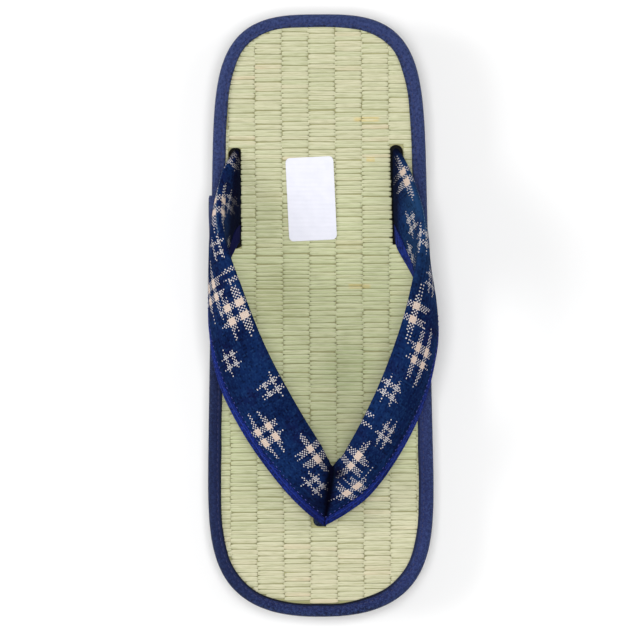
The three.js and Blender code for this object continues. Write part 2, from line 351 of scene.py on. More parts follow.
# %% [markdown]
# ## The outline that everything follows
# The sole is a long rounded slab. Its half width is one formula in the CAD source, and
# the heights are two gentle curves. They are repeated here with the same numbers, so
# each dressed piece lies exactly on its CAD solid.

# %% Outline and heights
LENGTH = 265.0
HALF_LENGTH = LENGTH / 2
HALF_WIDTH_HEEL = 45.7
HALF_WIDTH_TOE = 51.0
# Caps: how far they reach, how square they are, how blunt. Spring and roll: rise, start, run.
HEEL_CAP = (97.0, 5.8, 3.05)
TOE_CAP = (94.0, 5.25, 2.4)
HEEL_HEIGHT = 24.0
BALL_HEIGHT = 17.5
WEDGE_FROM = 95.0
WEDGE_RUN = 130.0
TOE_SPRING = (3.5, 82.0, 50.5)
HEEL_ROLL = (1.2, 112.0, 20.5)
BOARD = 6.0
EDGE_POINTS = 260
EDGE_TRIALS = 6001


def clamp01(share):
    return np.clip(share, 0.0, 1.0)


def smooth(low, high, value):
    share = clamp01((value - low) / (high - low))
    return share * share * (3.0 - 2.0 * share)


def half_width(y):
    from_heel = HALF_LENGTH - y
    from_toe = HALF_LENGTH + y
    side = HALF_WIDTH_HEEL + (HALF_WIDTH_TOE - HALF_WIDTH_HEEL) * from_heel / LENGTH
    heel = 1.0 - clamp01(1.0 - from_heel / HEEL_CAP[0]) ** HEEL_CAP[1]
    toe = 1.0 - clamp01(1.0 - from_toe / TOE_CAP[0]) ** TOE_CAP[1]
    return side * clamp01(heel) ** (1 / HEEL_CAP[2]) * clamp01(toe) ** (1 / TOE_CAP[2])


def toe_spring(y):
    return TOE_SPRING[0] * clamp01((-y - TOE_SPRING[1]) / TOE_SPRING[2]) ** 2


def footbed_top(y):
    ease = (1.0 - np.cos(np.pi * clamp01((WEDGE_FROM - y) / WEDGE_RUN))) / 2
    return HEEL_HEIGHT + (BALL_HEIGHT - HEEL_HEIGHT) * ease + toe_spring(y)


def sole_bottom(y):
    return toe_spring(y) + HEEL_ROLL[0] * clamp01((y - HEEL_ROLL[1]) / HEEL_ROLL[2]) ** 2


def distance_along(points):
    """Length walked from the first point of a path to each of its points."""
    return np.append(0.0, np.cumsum(np.linalg.norm(np.diff(points, axis=0), axis=1)))


def even_edge():
    """Even points round the outline from the toe up the right side, and inward normals."""
    y = -HALF_LENGTH * np.cos(np.linspace(0.0, np.pi, EDGE_TRIALS))
    half = np.column_stack([half_width(y), y])
    walked = distance_along(half)
    stops = np.linspace(0.0, walked[-1], EDGE_POINTS)
    right = np.column_stack([np.interp(stops, walked, half[:, i]) for i in (0, 1)])
    right[[0, -1], 0] = 0.0
    ring = np.vstack([right, right[-2:0:-1] * (-1, 1)])
    run = np.roll(ring, -1, axis=0) - np.roll(ring, 1, axis=0)
    run /= np.linalg.norm(run, axis=1)[:, None]
    return ring, np.column_stack([-run[:, 1], run[:, 0]])


EDGE, INWARD = even_edge()
AROUND = len(EDGE)
print("outline of", AROUND, "points")


def lid(first, flip=False):
    """Quads that close an outline ring from side to side."""
    right = [first + i for i in range(EDGE_POINTS)]
    left = [first + (AROUND - i) % AROUND for i in range(EDGE_POINTS)]
    faces = []
    for i in range(EDGE_POINTS - 1):
        faces.append(tuple(dict.fromkeys((right[i], right[i + 1], left[i + 1], left[i]))))
    return [f[::-1] for f in faces] if flip else faces


def ring_at(inset, height):
    """A ring of the outline at an inset, with the height given for each point's own y."""
    flat = EDGE + INWARD * np.reshape(inset, (-1, 1))
    return np.column_stack([flat, height])


# %% [markdown]
# ## Sponge sole
# The sole of such a sandal is cut from sheet sponge and glued in two layers, with a thin
# hard tread below. Stacked rings give the sanded edge, the glue line between the layers
# and the rounded foot of the wall. Fine pores come from a bump, because a cell is
# smaller than a millimetre.

# %% Sponge sole
SOLE_INSET = 1.0
SOLE_ROUND = 2.4
SOLE_ROUND_HIGH = 2.0
TREAD = 4.2
GROOVE = 0.7
GROOVE_DEEP = 0.35
GROOVE_FLOOR = 0.2
WALL_BULGE = 0.1
TOP_ROUND = 0.5
SOLE_TOP_GAP = 0.3

sponge = Finish("sponge_rubber", Roughness=0.8)
place = sponge.object_place()
cells = sponge.noise(place, 1400.0, 3.0, 0.6)
cloud = sponge.noise(place, 45.0, 3.0)
tone = sponge.layers(
    srgb(38, 39, 46),
    (cloud, srgb(60, 61, 68)),
    (cells.step(0.56, 0.7), srgb(26, 26, 31)),
    # Painted shade: the top of the sole, which lies in shade under the board, is near-black.
    (sponge.attribute("inside"), srgb(8, 8, 10)),
)
sponge.bump(cells, 0.0006, 0.6)
sponge.wear(Base_Color=tone, Roughness=0.7 + cloud * 0.25)

low = sole_bottom(EDGE[:, 1])
high = footbed_top(EDGE[:, 1]) - BOARD - SOLE_TOP_GAP
sole_steps = [(SOLE_INSET + SOLE_ROUND, low)]
for turn in np.radians([25, 50, 75, 90]):
    inset = SOLE_INSET + SOLE_ROUND * (1 - np.sin(turn))
    sole_steps.append((inset, low + SOLE_ROUND_HIGH * (1 - np.cos(turn))))
sole_steps += [
    (SOLE_INSET, low + TREAD - GROOVE),
    (SOLE_INSET + GROOVE_DEEP, low + TREAD - GROOVE_FLOOR),
    (SOLE_INSET + GROOVE_DEEP, low + TREAD + GROOVE_FLOOR),
    (SOLE_INSET, low + TREAD + GROOVE),
    (SOLE_INSET - WALL_BULGE, (low + TREAD + high) / 2),
    (SOLE_INSET, high - TOP_ROUND),
    (SOLE_INSET + TOP_ROUND, high),
]
sole_rings = [ring_at(inset, z) for inset, z in sole_steps]
sole_faces = skin(len(sole_rings), AROUND, lids=False)
sole_faces += lid(0, flip=True) + lid((len(sole_rings) - 1) * AROUND)
sole = make_piece("sole_sponge", sole_rings, sole_faces, sponge.material, 35.0)
# The top ring carries the painted shade of the sole's top face.
inside = np.zeros(len(sole_rings) * AROUND)
inside[-AROUND:] = 1.0
mark(sole, "inside", inside)
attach(sole, "root")
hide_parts("outsole")

# %% [markdown]
# ## Footbed board
# The board under the rush shows only as a dark line between two rushes and inside the
# strap slots, so its CAD solid stays and gets a finish of crushed straw.

# %% Footbed board
straw = Finish("straw_board", Roughness=0.85)
place = straw.object_place()
drawn_out = straw.node("ShaderNodeVectorMath", {"operation": "MULTIPLY"}, [place, (1, 12, 6)])
fibres = straw.noise(drawn_out, 160.0, 3.0)
straw.bump(fibres, 0.0005, 0.5)
straw.wear(Base_Color=straw.mix(fibres, srgb(128, 126, 84), srgb(168, 166, 122)))
board = frame["nodes"]["footbed"]
board.data.materials.clear()
board.data.materials.append(straw.material)
print("board keeps its CAD solid")

# %% [markdown]
# ## Rush weave
# Tatami facing is woven from soft rush laid side to side over hidden cords. Each rush
# rises over one cord and dives at the next, so the eye sees columns of short spindles,
# with every second column set half a rush further on. One spindle of a few dozen faces is
# modelled, and Geometry Nodes set it at every crossing with small random turns and
# widths. A plain bump would look flat from the side, so the rushes are real.

# %% One rush spindle
SPINDLE_STOPS = (-0.5, -0.485, -0.45, -0.36, 0.0, 0.36, 0.45, 0.485, 0.5)
SPINDLE_RISE = (0.3, 0.7, 0.92, 1.0, 1.0, 1.0, 0.92, 0.7, 0.3)
SPINDLE_GIRTH = (0.66, 0.85, 0.95, 1.0, 1.02, 1.0, 0.95, 0.85, 0.66)
SPINDLE_RIM = ((-0.5, -0.5), (-0.47, 0.66), (-0.3, 1.0), (0.3, 0.96), (0.47, 0.6), (0.5, -0.5))


def spindle():
    """A rush float one unit long, wide and high, with a UV map along and across."""
    points = []
    for x, rise, girth in zip(SPINDLE_STOPS, SPINDLE_RISE, SPINDLE_GIRTH):
        points += [(x, y * girth, z * rise if z > 0 else z) for y, z in SPINDLE_RIM]
    faces = skin(len(SPINDLE_STOPS), len(SPINDLE_RIM))
    along = [(x + 0.5, y + 0.5) for x in SPINDLE_STOPS for y, _ in SPINDLE_RIM]
    uvs = [along[v] for face in faces for v in face]
    return np.array(points) / MM, faces, np.array(uvs) / MM


print("a spindle has", len(SPINDLE_STOPS) * len(SPINDLE_RIM), "points")

# %% [markdown]
# The rush dries to a pale yellow green. A greener tint is painted over the middle of the
# mat, standing in for the shade under the strap. A few tan stems are listed, and so are
# soft patches of painted shade and painted light. Each spindle has a random tone of its
# own and fine lengthwise fibres, painted shade where it dives at both ends and along one
# flank, and a painted highlight along the other.

# %% Rush finish
# Tan stems: x, y and half length. Patches of painted shade and light: x, y, radius, strength and
# colour.
TAN_STEMS = ((20.9, 86.2, 6.5), (22.6, 68.6, 2.2), (17.5, 12.9, 5.5), (-11.0, 40.5, 3.0))
TAN_HALF = (0.0013, 0.0008)
PAINTED_LIGHT_AND_SHADE = (
    (-19.0, 8.0, 17.0, 0.5, (150, 154, 106)),
    (-25.0, 45.0, 15.0, 0.25, (150, 156, 110)),
    (12.0, -22.0, 14.0, 0.4, (150, 164, 112)),
    (36.0, -84.0, 20.0, 0.45, (216, 213, 180)),
    (-36.0, -84.0, 20.0, 0.25, (156, 160, 120)),
)
rush = Finish("rush", Roughness=0.5, Specular_IOR_Level=0.25)
along, across, _ = rush.uv("rush")
tone = rush.attribute("tone")
place = rush.object_place()
cloud = rush.noise(place, 28.0, 2.0)
stem = rush.ramp(
    tone * 0.75 + cloud * 0.25,
    (0.1, srgb(180, 182, 146)),
    (0.5, srgb(186, 186, 152)),
    (0.82, srgb(190, 187, 155)),
    (0.9, srgb(194, 182, 150)),
)
sideways, length, _ = place.parts()
# Painted shade tint: the middle of the mat, shaded by the strap, is tinted greener.
painted_shade_tint = length.step(0.08, 0.02) * length.step(-0.095, -0.05)
stem = rush.layers(
    stem,
    (painted_shade_tint * 0.5, srgb(187, 197, 146)),
    (length.step(-0.085, -0.11) * 0.35, srgb(196, 188, 160)),
)
for x, y, wide in TAN_STEMS:
    near = abs(sideways - x * MM).step(wide * MM, wide * MM * 0.7)
    level = abs(length - y * MM).step(*TAN_HALF)
    stem = rush.mix(near * level * 0.6, stem, srgb(200, 176, 104))
# Each patch paints a soft disc of shade onto the rush; the paler one paints light.
for x, y, wide, share, colour in PAINTED_LIGHT_AND_SHADE:
    aside = sideways - x * MM
    ahead = length - y * MM
    inside = (aside * aside + ahead * ahead).step((wide * MM) ** 2, 0.0)
    stem = rush.mix(inside * share, stem, srgb(*colour))
end = abs(along - 0.5)
side = abs(across - 0.5)
own = (tone * 17.3) % 1.0
fibre = rush.noise(rush.vector(along * 0.7, across * 1.8, tone * 70.0), 3.0, 3.0)
# Painted highlight along the heel-side flank of each rush.
painted_highlight = across.step(0.62, 0.8) * across.step(0.97, 0.88)
# Painted shade where each rush dives at both ends.
painted_dive_shade = end.step(0.38, 0.47) * side.step(0.3, 0.46)
stem = rush.layers(
    stem,
    (fibre.step(0.47, 0.64) * 0.55, srgb(158, 159, 120)),
    (fibre.step(0.45, 0.3) * 0.45, srgb(208, 207, 176)),
    (painted_highlight * 0.45, srgb(214, 213, 184)),
    (painted_dive_shade * (own * 0.6 + 0.35), srgb(84, 84, 48)),
    # Painted shade: a dark line along the toe-side flank.
    (across.step(0.13, 0.03) * (own * 0.6 + 0.1), srgb(104, 105, 64)),
)
rush.bump(fibre, 0.0002, 0.3)
rush.wear(Base_Color=stem, Roughness=0.5 + fibre * 0.25)

# %% [markdown]
# The points of the weave are worked out in plain Python, because they have to stop at
# the tape, at both strap slots and round the toe hole. The rush is cut back less than
# the board, so it reaches over the slots' inner sides up to the strap. The tree only
# needs a point, a size and a lean for each rush.

# %% Points of the weave
COLUMN = 11.73
COLUMN_START = -51.5
COLUMNS = 9
ROW = 1.97
ROW_JITTER = 0.15
ROW_DRIFT = 0.13
DRIFT_LINES = 6
END_JITTER = 0.3
FLOAT_OVERLAP = 1.05
FLOAT_CREST = 0.5
TAPE_COVER = 5.3
TAPE_RAGGED = 0.3
COLUMN_JITTER = 0.1
FIRST_LINE = 0.7
LINES_SHORT = 1.0
SHORTEST_RUSH = 1.2
RUSH_SWELL = 1.05
WEAVE_SEED = 8
# Slots: left edge in front and at the back, right edge, front end and back end.
SLOT_EDGES = ((32.5, 31.15, 36.9, 31.0, 75.0), (-39.9, -39.9, -34.6, 29.7, 74.2))
SLOT_REACH = 2.6
# Toe hole: middle x and y, half width and half length.
TOE_HOLE = (-0.5, -90.2, 3.7, 2.9)


def free_run(y, low, high):
    """The part of a rush that tape, slots and hole leave, drawn out to a slot close by."""
    room = np.interp(y, *RUSH_ROOM)
    low = max(low, -room)
    high = min(high, room)
    cuts = []
    for front, back, right, near, far in SLOT_EDGES:
        if near < y < far:
            left = np.interp(y, (near, far), (front, back))
            cuts.append((left, right))
            if 0.0 < left - high < SLOT_REACH:
                high = left
    hole = 1.0 - ((y - TOE_HOLE[1]) / TOE_HOLE[3]) ** 2
    if hole > 0:
        reach = TOE_HOLE[2] * math.sqrt(hole)
        cuts.append((TOE_HOLE[0] - reach, TOE_HOLE[0] + reach))
    for a, b in cuts:
        if low < b and high > a:
            if (a + b) / 2 > (low + high) / 2:
                high = min(high, a)
            else:
                low = max(low, b)
    return low, high


right_edge = (EDGE + INWARD * TAPE_COVER)[:EDGE_POINTS]
RUSH_ROOM = (right_edge[:, 1], right_edge[:, 0])
rush_places = []
rush_sizes = []
rush_leans = []
picks = np.random.default_rng(WEAVE_SEED)
span = right_edge[-1, 1] - right_edge[0, 1] - LINES_SHORT
line_count = int(span / ROW * 2)
drift = picks.uniform(-ROW_DRIFT, ROW_DRIFT, line_count // DRIFT_LINES + 2)
drift = 1.0 + np.interp(np.arange(line_count) / DRIFT_LINES, np.arange(len(drift)), drift)
rush_lines = right_edge[0, 1] + FIRST_LINE + np.cumsum(drift) * span / drift.sum()
rush_lines = rush_lines + picks.uniform(-ROW_JITTER, ROW_JITTER, len(rush_lines)) * ROW
for column in range(COLUMNS):
    left = COLUMN_START + column * COLUMN - COLUMN * (FLOAT_OVERLAP - 1) / 2
    lines = rush_lines[column % 2 :: 2]
    lines = lines + picks.uniform(-COLUMN_JITTER, COLUMN_JITTER, len(lines))
    room = np.gradient(lines)
    for y, wide in zip(lines, room):
        starts, stops = picks.uniform(-END_JITTER, END_JITTER, 2) + left
        low, high = free_run(y, starts, stops + COLUMN * FLOAT_OVERLAP)
        low += picks.uniform(0, TAPE_RAGGED)
        high -= picks.uniform(0, TAPE_RAGGED)
        if high - low < SHORTEST_RUSH:
            continue
        slope = math.atan2(footbed_top(y + 1) - footbed_top(y - 1), 2.0)
        rush_places.append(((low + high) / 2, y, footbed_top(y)))
        rush_sizes.append((high - low, wide * RUSH_SWELL, FLOAT_CREST))
        rush_leans.append((slope, 0.0, 0.0))
print(len(rush_places), "rushes")

# %% [markdown]
# Now the tree. Its inputs are the spindle, the finish, a seed and how much the rushes
# differ. The point mesh carries `size` and `lean`, the tree adds the chance, and a
# random `tone` is stored on every instance for the finish to read.

# %% A small wrapper for Geometry Nodes
class Tree:
    """A Geometry Nodes tree in the making, with named inputs."""

    def __init__(self, name, **inputs):
        self.tree = bpy.data.node_groups.new(name, "GeometryNodeTree")
        face = self.tree.interface
        face.new_socket("Geometry", in_out="INPUT", socket_type="NodeSocketGeometry")
        face.new_socket("Geometry", in_out="OUTPUT", socket_type="NodeSocketGeometry")
        self.ids = {}
        for key, kind in inputs.items():
            made = face.new_socket(key, in_out="INPUT", socket_type=f"NodeSocket{kind}")
            self.ids[key] = made.identifier
        self.given = self.tree.nodes.new("NodeGroupInput").outputs
        self.result = self.tree.nodes.new("NodeGroupOutput").inputs[0]

    def node(self, kind, settings, sockets, out=0):
        made = self.tree.nodes.new(kind)
        for key, value in settings.items():
            setattr(made, key, value)
        for key, value in sockets.items():
            if isinstance(value, bpy.types.NodeSocket):
                self.tree.links.new(value, made.inputs[key])
            else:
                made.inputs[key].default_value = value
        return made.outputs[out]

    def maths(self, operation, *sockets, kind="Math"):
        return self.node(f"ShaderNode{kind}", {"operation": operation}, dict(enumerate(sockets)))

    def finish(self, geometry):
        real = self.node("GeometryNodeRealizeInstances", {}, {0: geometry})
        painted_root_light = self.node("GeometryNodeSetMaterial", {}, {0: real, "Material": self.given["Finish"]})
        self.tree.links.new(painted_root_light, self.result)

    def grow(self, name, carrier, values):
        """Runs the tree on a carrier object and returns the plain mesh it makes."""
        modifier = carrier.modifiers.new(name, "NODES")
        modifier.node_group = self.tree
        for key, value in values.items():
            modifier[self.ids[key]] = value
        graph = bpy.context.evaluated_depsgraph_get()
        mesh = bpy.data.meshes.new_from_object(carrier.evaluated_get(graph))
        carrier.modifiers.remove(modifier)
        bpy.data.objects.remove(carrier)
        mesh.name = name
        mesh.polygons.foreach_set("use_smooth", [True] * len(mesh.polygons))
        piece = bpy.data.objects.new(name, mesh)
        scene.collection.objects.link(piece)
        print(name, len(mesh.polygons), "faces from Geometry Nodes")
        return piece


def chain(name, points, links=()):
    """An object of points in millimetres and the edges that link them, for a tree."""
    mesh = bpy.data.meshes.new(name)
    mesh.from_pydata((np.asarray(points) * MM).tolist(), links, [])
    holder = bpy.data.objects.new(name, mesh)
    scene.collection.objects.link(holder)
    return holder


# %% [markdown]
# Each rush gets its own girth and a slight turn. The instances are made real, and the
# result becomes one plain mesh.

# %% Weave the rush
RUSH_SEED = 11
RUSH_GIRTH = 0.09
RUSH_TURN = 0.02

weave = Tree(
    "rush_weave", Spindle="Object", Finish="Material", Seed="Int", Girth="Float", Turn="Float"
)
given = weave.given
vector = {"data_type": "FLOAT_VECTOR"}
size = weave.node("GeometryNodeInputNamedAttribute", vector, {"Name": "size"})
lean = weave.node("GeometryNodeInputNamedAttribute", vector, {"Name": "lean"})
least = weave.maths("SUBTRACT", 1.0, given["Girth"])
most = weave.maths("ADD", 1.0, given["Girth"])
thin = weave.node("ShaderNodeCombineXYZ", {}, {0: 1.0, 1: least, 2: least})
thick = weave.node("ShaderNodeCombineXYZ", {}, {0: 1.0, 1: most, 2: most})
girth = weave.node("FunctionNodeRandomValue", vector, {0: thin, 1: thick, "Seed": given["Seed"]})
scale = weave.maths("MULTIPLY", size, girth, kind="VectorMath")
turn = weave.node("ShaderNodeCombineXYZ", {}, {2: given["Turn"]})
back = weave.node("ShaderNodeVectorMath", {"operation": "SCALE"}, {0: turn, "Scale": -1.0})
twist = weave.node("FunctionNodeRandomValue", vector, {0: back, 1: turn, "Seed": given["Seed"]})
angle = weave.maths("ADD", lean, twist, kind="VectorMath")
shape = weave.node("GeometryNodeObjectInfo", {}, {"Object": given["Spindle"]}, out="Geometry")
rushes = weave.node(
    "GeometryNodeInstanceOnPoints",
    {},
    {"Points": given["Geometry"], "Instance": shape, "Rotation": angle, "Scale": scale},
)
shade = weave.node("FunctionNodeRandomValue", {"data_type": "FLOAT"}, {"Seed": given["Seed"]}, 1)
toned = weave.node(
    "GeometryNodeStoreNamedAttribute",
    {"data_type": "FLOAT", "domain": "INSTANCE"},
    {"Geometry": rushes, "Name": "tone", "Value": shade},
)
weave.finish(toned)

carrier = chain("rush_points", rush_places)
for key, rows, unit in (("size", rush_sizes, MM), ("lean", rush_leans, 1.0)):
    layer = carrier.data.attributes.new(key, "FLOAT_VECTOR", "POINT")
    layer.data.foreach_set("vector", np.ravel(rows) * unit)
float_points, float_faces, float_uvs = spindle()
pattern = make_piece("spindle", float_points, float_faces, rush.material, 80.0, float_uvs, "rush")
rush_mat = weave.grow(
    "rush_mat",
    carrier,
    {
        "Spindle": pattern,
        "Finish": rush.material,
        "Seed": RUSH_SEED,
        "Girth": RUSH_GIRTH,
        "Turn": RUSH_TURN,
    },
)
bpy.data.objects.remove(pattern)
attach(rush_mat, "root")

# %% [markdown]
# ## Edge tape
# The cut edges of the rush are bound in cotton tape, folded over the rim and sewn down
# a little way in from its inner edge. A profile is carried round the outline, slightly
# uneven as hand-fed tape is. The row of stitches pulls a shallow trough into it.

# %% Tape finish
YARN = 0.00042
LIP_LAY = 0.0117
TAPE_SHINE = 0.12
COTTON_SHINE = 0.02
CLOTH_SHEEN = 0.015
YARN_GAP = grey(0.004)


def cotton(name, pale, deep, glint, shine, **constants):
    """Plain-woven cotton on a UV map in metres: yarns, slubs and paler spots from wear."""
    finish = Finish(name, Roughness=0.75, Specular_IOR_Level=shine, **constants)
    run, over, _ = finish.uv()
    warp = abs((run / YARN) % 1.0 - 0.5)
    weft = abs((over / YARN) % 1.0 - 0.5)
    cell = finish.vector(math.floor(run / YARN), math.floor(over / YARN))
    chance = finish.node("ShaderNodeTexWhiteNoise", {"noise_dimensions": "2D"}, {"Vector": cell})
    under = (math.floor(run / YARN) + math.floor(over / YARN)) % 2.0
    yarn = under * warp + (1.0 - under) * weft
    slub = finish.noise(finish.vector(run, over), 760.0, 3.0, 0.7)
    cloud = finish.noise(finish.vector(run, over), 55.0, 2.0)
    body = finish.layers(
        deep,
        (cloud.step(0.3, 0.7), pale),
        (slub.step(0.5, 0.64) * 0.8, glint),
        (slub.step(0.48, 0.36) * 0.75, YARN_GAP),
        (chance.step(0.5, 1.0) * 0.5, glint),
        (chance.step(0.4, 0.0) * 0.4, YARN_GAP),
        (yarn.step(0.25, 0.5) * 0.3, YARN_GAP),
    )
    finish.bump(slub * 0.6 + yarn, 0.0003, 0.5)
    finish.wear(Roughness=0.66 + slub * 0.25)
    return finish, body, run, over


tape, navy, run, over = cotton(
    "navy_tape",
    srgb(28, 41, 82),
    srgb(22, 34, 74),
    srgb(60, 75, 120),
    TAPE_SHINE,
    Sheen_Weight=0.04,
)
fold = over.step(0.0075, 0.0095)
sideways, length, _ = tape.object_place().parts()
front = length.step(0.02, -0.04)
mottle = tape.noise(tape.vector(run, over), 900.0, 3.0, 0.7).step(0.3, 0.7)
navy = tape.layers(
    navy,
    (fold * 0.3, srgb(30, 34, 84)),
    # Painted shade: a near-black line along the tape's inner lip.
    (over.step(LIP_LAY - 0.0004, LIP_LAY) * 0.9, srgb(12, 14, 20)),
    # Painted light on the right of the toe and painted shade on its left.
    (front * sideways.step(0.02, 0.04) * 0.2, srgb(60, 73, 130)),
    (front * sideways.step(-0.02, -0.04) * 0.5, srgb(14, 24, 56)),
    (length.step(-0.04, 0.1) * mottle * 0.8, srgb(60, 73, 120)),
)
tape.wear(Base_Color=navy)

# %% [markdown]
# The profile goes up the wall, over the rounded corner and in to the lip, and back below.
# On the right side the tape lies a little wider than on the left, most of all in front.

# %% Tape round the edge
TAPE_WALL = 1.0
TAPE_CORNER = 2.2
TAPE_TOP = 1.45
TAPE_BAND = 5.7
STITCH_INSET = 4.0
STITCH_DENT = 0.35
DENT_WIDE = 0.35
RIGHT_WIDER = 0.95
HEEL_LESS = 0.45
LIP_GROWS = (3.0, 5.5)
WIDER_ALONG = (-50.0, 80.0)
WIDER_ACROSS = (5.0, 30.0)
TAPE_SEED = 5


def tape_profile():
    """The tape's outside from the foot of the wall to its inner lip: inset and rise."""
    path = [(0.0, rise) for rise in np.linspace(-BOARD, TAPE_TOP - TAPE_CORNER, 6)]
    for turn in np.radians(np.arange(12, 91, 13)):
        path.append((TAPE_CORNER * (1 - np.cos(turn)), TAPE_TOP - TAPE_CORNER * (1 - np.sin(turn))))
    for inset in (2.6, 3.0, 3.4, 3.7, STITCH_INSET, 4.3, 4.6, 4.9, 5.2, 5.45):
        dent = STITCH_DENT * math.exp(-(((inset - STITCH_INSET) / DENT_WIDE) ** 2))
        path.append((inset, TAPE_TOP - dent))
    path += [(TAPE_BAND - 0.06, TAPE_TOP - 0.12), (TAPE_BAND, TAPE_TOP - 0.4), (TAPE_BAND - 0.05, 0.3)]
    return np.array(path)


PROFILE = tape_profile()
PROFILE_BACK = np.array([(1.8, 0.3), (TAPE_WALL, -0.7), (TAPE_WALL, -BOARD)])
walk = distance_along(np.vstack([EDGE, EDGE[:1]]))
chance = np.random.default_rng(TAPE_SEED)


def uneven(waves, size):
    """A smooth closed wobble round the edge, the same in every run."""
    share = walk[:-1] / walk[-1] * 2 * np.pi
    total = np.zeros(AROUND)
    for wave in waves:
        total += np.cos(share * wave + chance.uniform(0, 6.28)) * chance.uniform(0.4, 1.0)
    return total * size / len(waves)


wider = RIGHT_WIDER - HEEL_LESS * smooth(*WIDER_ALONG, EDGE[:, 1])
lip_wobble = uneven((5, 9, 14, 23, 31), 0.35) + wider * smooth(*WIDER_ACROSS, EDGE[:, 0])


def lip_reach(inset):
    """An inset round the edge, which follows the uneven lip more and more towards it."""
    return inset + lip_wobble * smooth(*LIP_GROWS, inset)


puff = uneven((6, 11, 17, 29, 41), 0.22)
tape_loop = np.vstack([PROFILE, PROFILE_BACK])
ground = footbed_top(EDGE[:, 1])
tape_points = []
for inset, rise in tape_loop:
    lift = rise + puff * smooth(-1.0, 1.4, rise) * smooth(0.5, 2.5, inset)
    tape_points.append(ring_at(lip_reach(inset), ground + lift))
tape_points = np.array(tape_points).transpose(1, 0, 2)
tape_faces = skin(AROUND, len(tape_loop), closed_path=True)
tape_over = distance_along(tape_loop)
tape_over = np.append(tape_over, tape_over[-1] + BOARD / 2)
tape_uvs = []
for ring in range(AROUND):
    for i in range(len(tape_loop)):
        for r, k in ((ring, i), (ring, i + 1), (ring + 1, i + 1), (ring + 1, i)):
            tape_uvs.append((walk[r], tape_over[k]))
edge_tape = make_piece("edge_tape", tape_points, tape_faces, tape.material, 60.0, tape_uvs)
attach(edge_tape, "root")
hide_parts("edge_binding")

# %% [markdown]
# ## Where the tape ends meet
# On the left side the tape's end laps over its beginning, and the doubled cloth stands
# a little proud of the outline. It is a second skin over the same profile, thickest at
# the cut end and running out under the strap.

# %% Tape end
LAP_FROM = 53.5
LAP_TO = 4.0
LAP_THICK = 1.4
LAP_THIN = 0.45
LAP_TAPER = (26.0, 4.0)
LAP_ROUND = 0.3
LAP_SUNK = 0.1


def lap_rings():
    """Closed rings of the lapped tape from its cut end to where it runs out."""
    side = [i for i in range(EDGE_POINTS, AROUND) if LAP_TO <= EDGE[i, 1] <= LAP_FROM]
    outside = PROFILE[:-4]
    slope = np.gradient(outside, axis=0)
    slope /= np.linalg.norm(slope, axis=1)[:, None]
    normal = np.column_stack([-slope[:, 1], slope[:, 0]])
    rings = []
    for i in side:
        y = EDGE[i, 1]
        full = smooth(LAP_FROM - LAP_TAPER[0], LAP_FROM - LAP_TAPER[1], y)
        thick = LAP_THICK * (LAP_THIN + (1.0 - LAP_THIN) * full)
        thick *= 1.0 - LAP_ROUND * smooth(LAP_FROM - 1.0, LAP_FROM, y)
        shell = np.vstack([outside + normal * thick, (outside - normal * LAP_SUNK)[::-1]])
        flat = EDGE[i] + np.outer(shell[:, 0], INWARD[i])
        rings.append(np.column_stack([flat, footbed_top(y) + shell[:, 1]]))
    return rings


laps = lap_rings()
lap_around = len(laps[0])
lap_faces = skin(len(laps), lap_around)
lap_uvs = [(v // lap_around * 1.1, v % lap_around * 0.6) for face in lap_faces for v in face]
tape_end = make_piece("tape_end", laps, lap_faces, tape.material, 60.0, lap_uvs)
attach(tape_end, "root")

# %% [markdown]
# ## Strap: the rows of the CAD loft
# The strap is one padded band. It comes up out of a slot beside the heel, twists from
# standing to lying, folds over the toe post and goes back down the other side. The CAD
# source lofts it through a table of rows: the outer edge, the inner edge, and how thick
# the padding is above and below. The same curve is used here. So is the table, apart
# from the tip and both tails, which follow the photograph a little more closely.

# %% Strap rows
# Outer edge x, y and height over the footbed, the same for the inner edge, padding over and under.
STRAP_ROWS = np.array([
    (34.8, 31.5, -5.6, 34.0, 73.2, -5.6, 0.4, 0.4),
    (34.8, 31.5, 0.0, 34.0, 73.2, 0.0, 0.4, 0.4),
    (35.0, 29.0, 2.9, 39.0, 63.5, 10.5, 1.6, 1.0),
    (42.6, 15.0, 7.8, 45.0, 38.5, 25.5, 3.0, 1.5),
    (50.4, -6.5, 12.8, 39.6, 9.0, 33.0, 3.6, 1.5),
    (47.6, -31.0, 15.8, 30.4, -19.0, 32.6, 3.6, 1.5),
    (38.0, -54.8, 16.0, 18.6, -45.0, 27.6, 3.4, 1.4),
    (22.4, -77.8, 14.0, 8.8, -61.5, 20.8, 2.8, 1.2),
    (12.0, -86.2, 12.6, 5.9, -63.9, 18.4, 2.8, 1.0),
    (1.4, -92.4, 11.2, 5.2, -65.0, 16.8, 1.6, 0.9),
    (-7.1, -85.6, 12.6, 4.2, -62.9, 17.4, 2.8, 1.0),
    (-17.1, -75.1, 13.8, 0.6, -57.0, 18.8, 2.8, 1.2),
    (-33.4, -52.2, 15.4, -10.6, -38.6, 22.8, 3.4, 1.4),
    (-44.8, -28.0, 15.0, -23.2, -15.0, 27.6, 3.6, 1.5),
    (-48.0, -4.0, 12.0, -34.6, 13.0, 30.0, 3.6, 1.5),
    (-44.0, 16.0, 7.6, -43.4, 39.5, 24.0, 3.8, 1.5),
    (-38.0, 29.0, 2.9, -42.0, 62.4, 10.0, 2.4, 1.0),
    (-36.8, 31.5, 0.0, -36.8, 72.8, 0.0, 0.6, 0.6),
    (-36.8, 31.5, -5.6, -36.8, 72.8, -5.6, 0.6, 0.6),
])
FOLD_ROW = 9
LAST_ROW = len(STRAP_ROWS) - 1
print("strap of", len(STRAP_ROWS), "rows, folded at row", FOLD_ROW)

# %% [markdown]
# A smooth curve runs through the rows of each half, and the halves meet in a sharp corner
# at the fold. Both edges and the padding follow such curves.

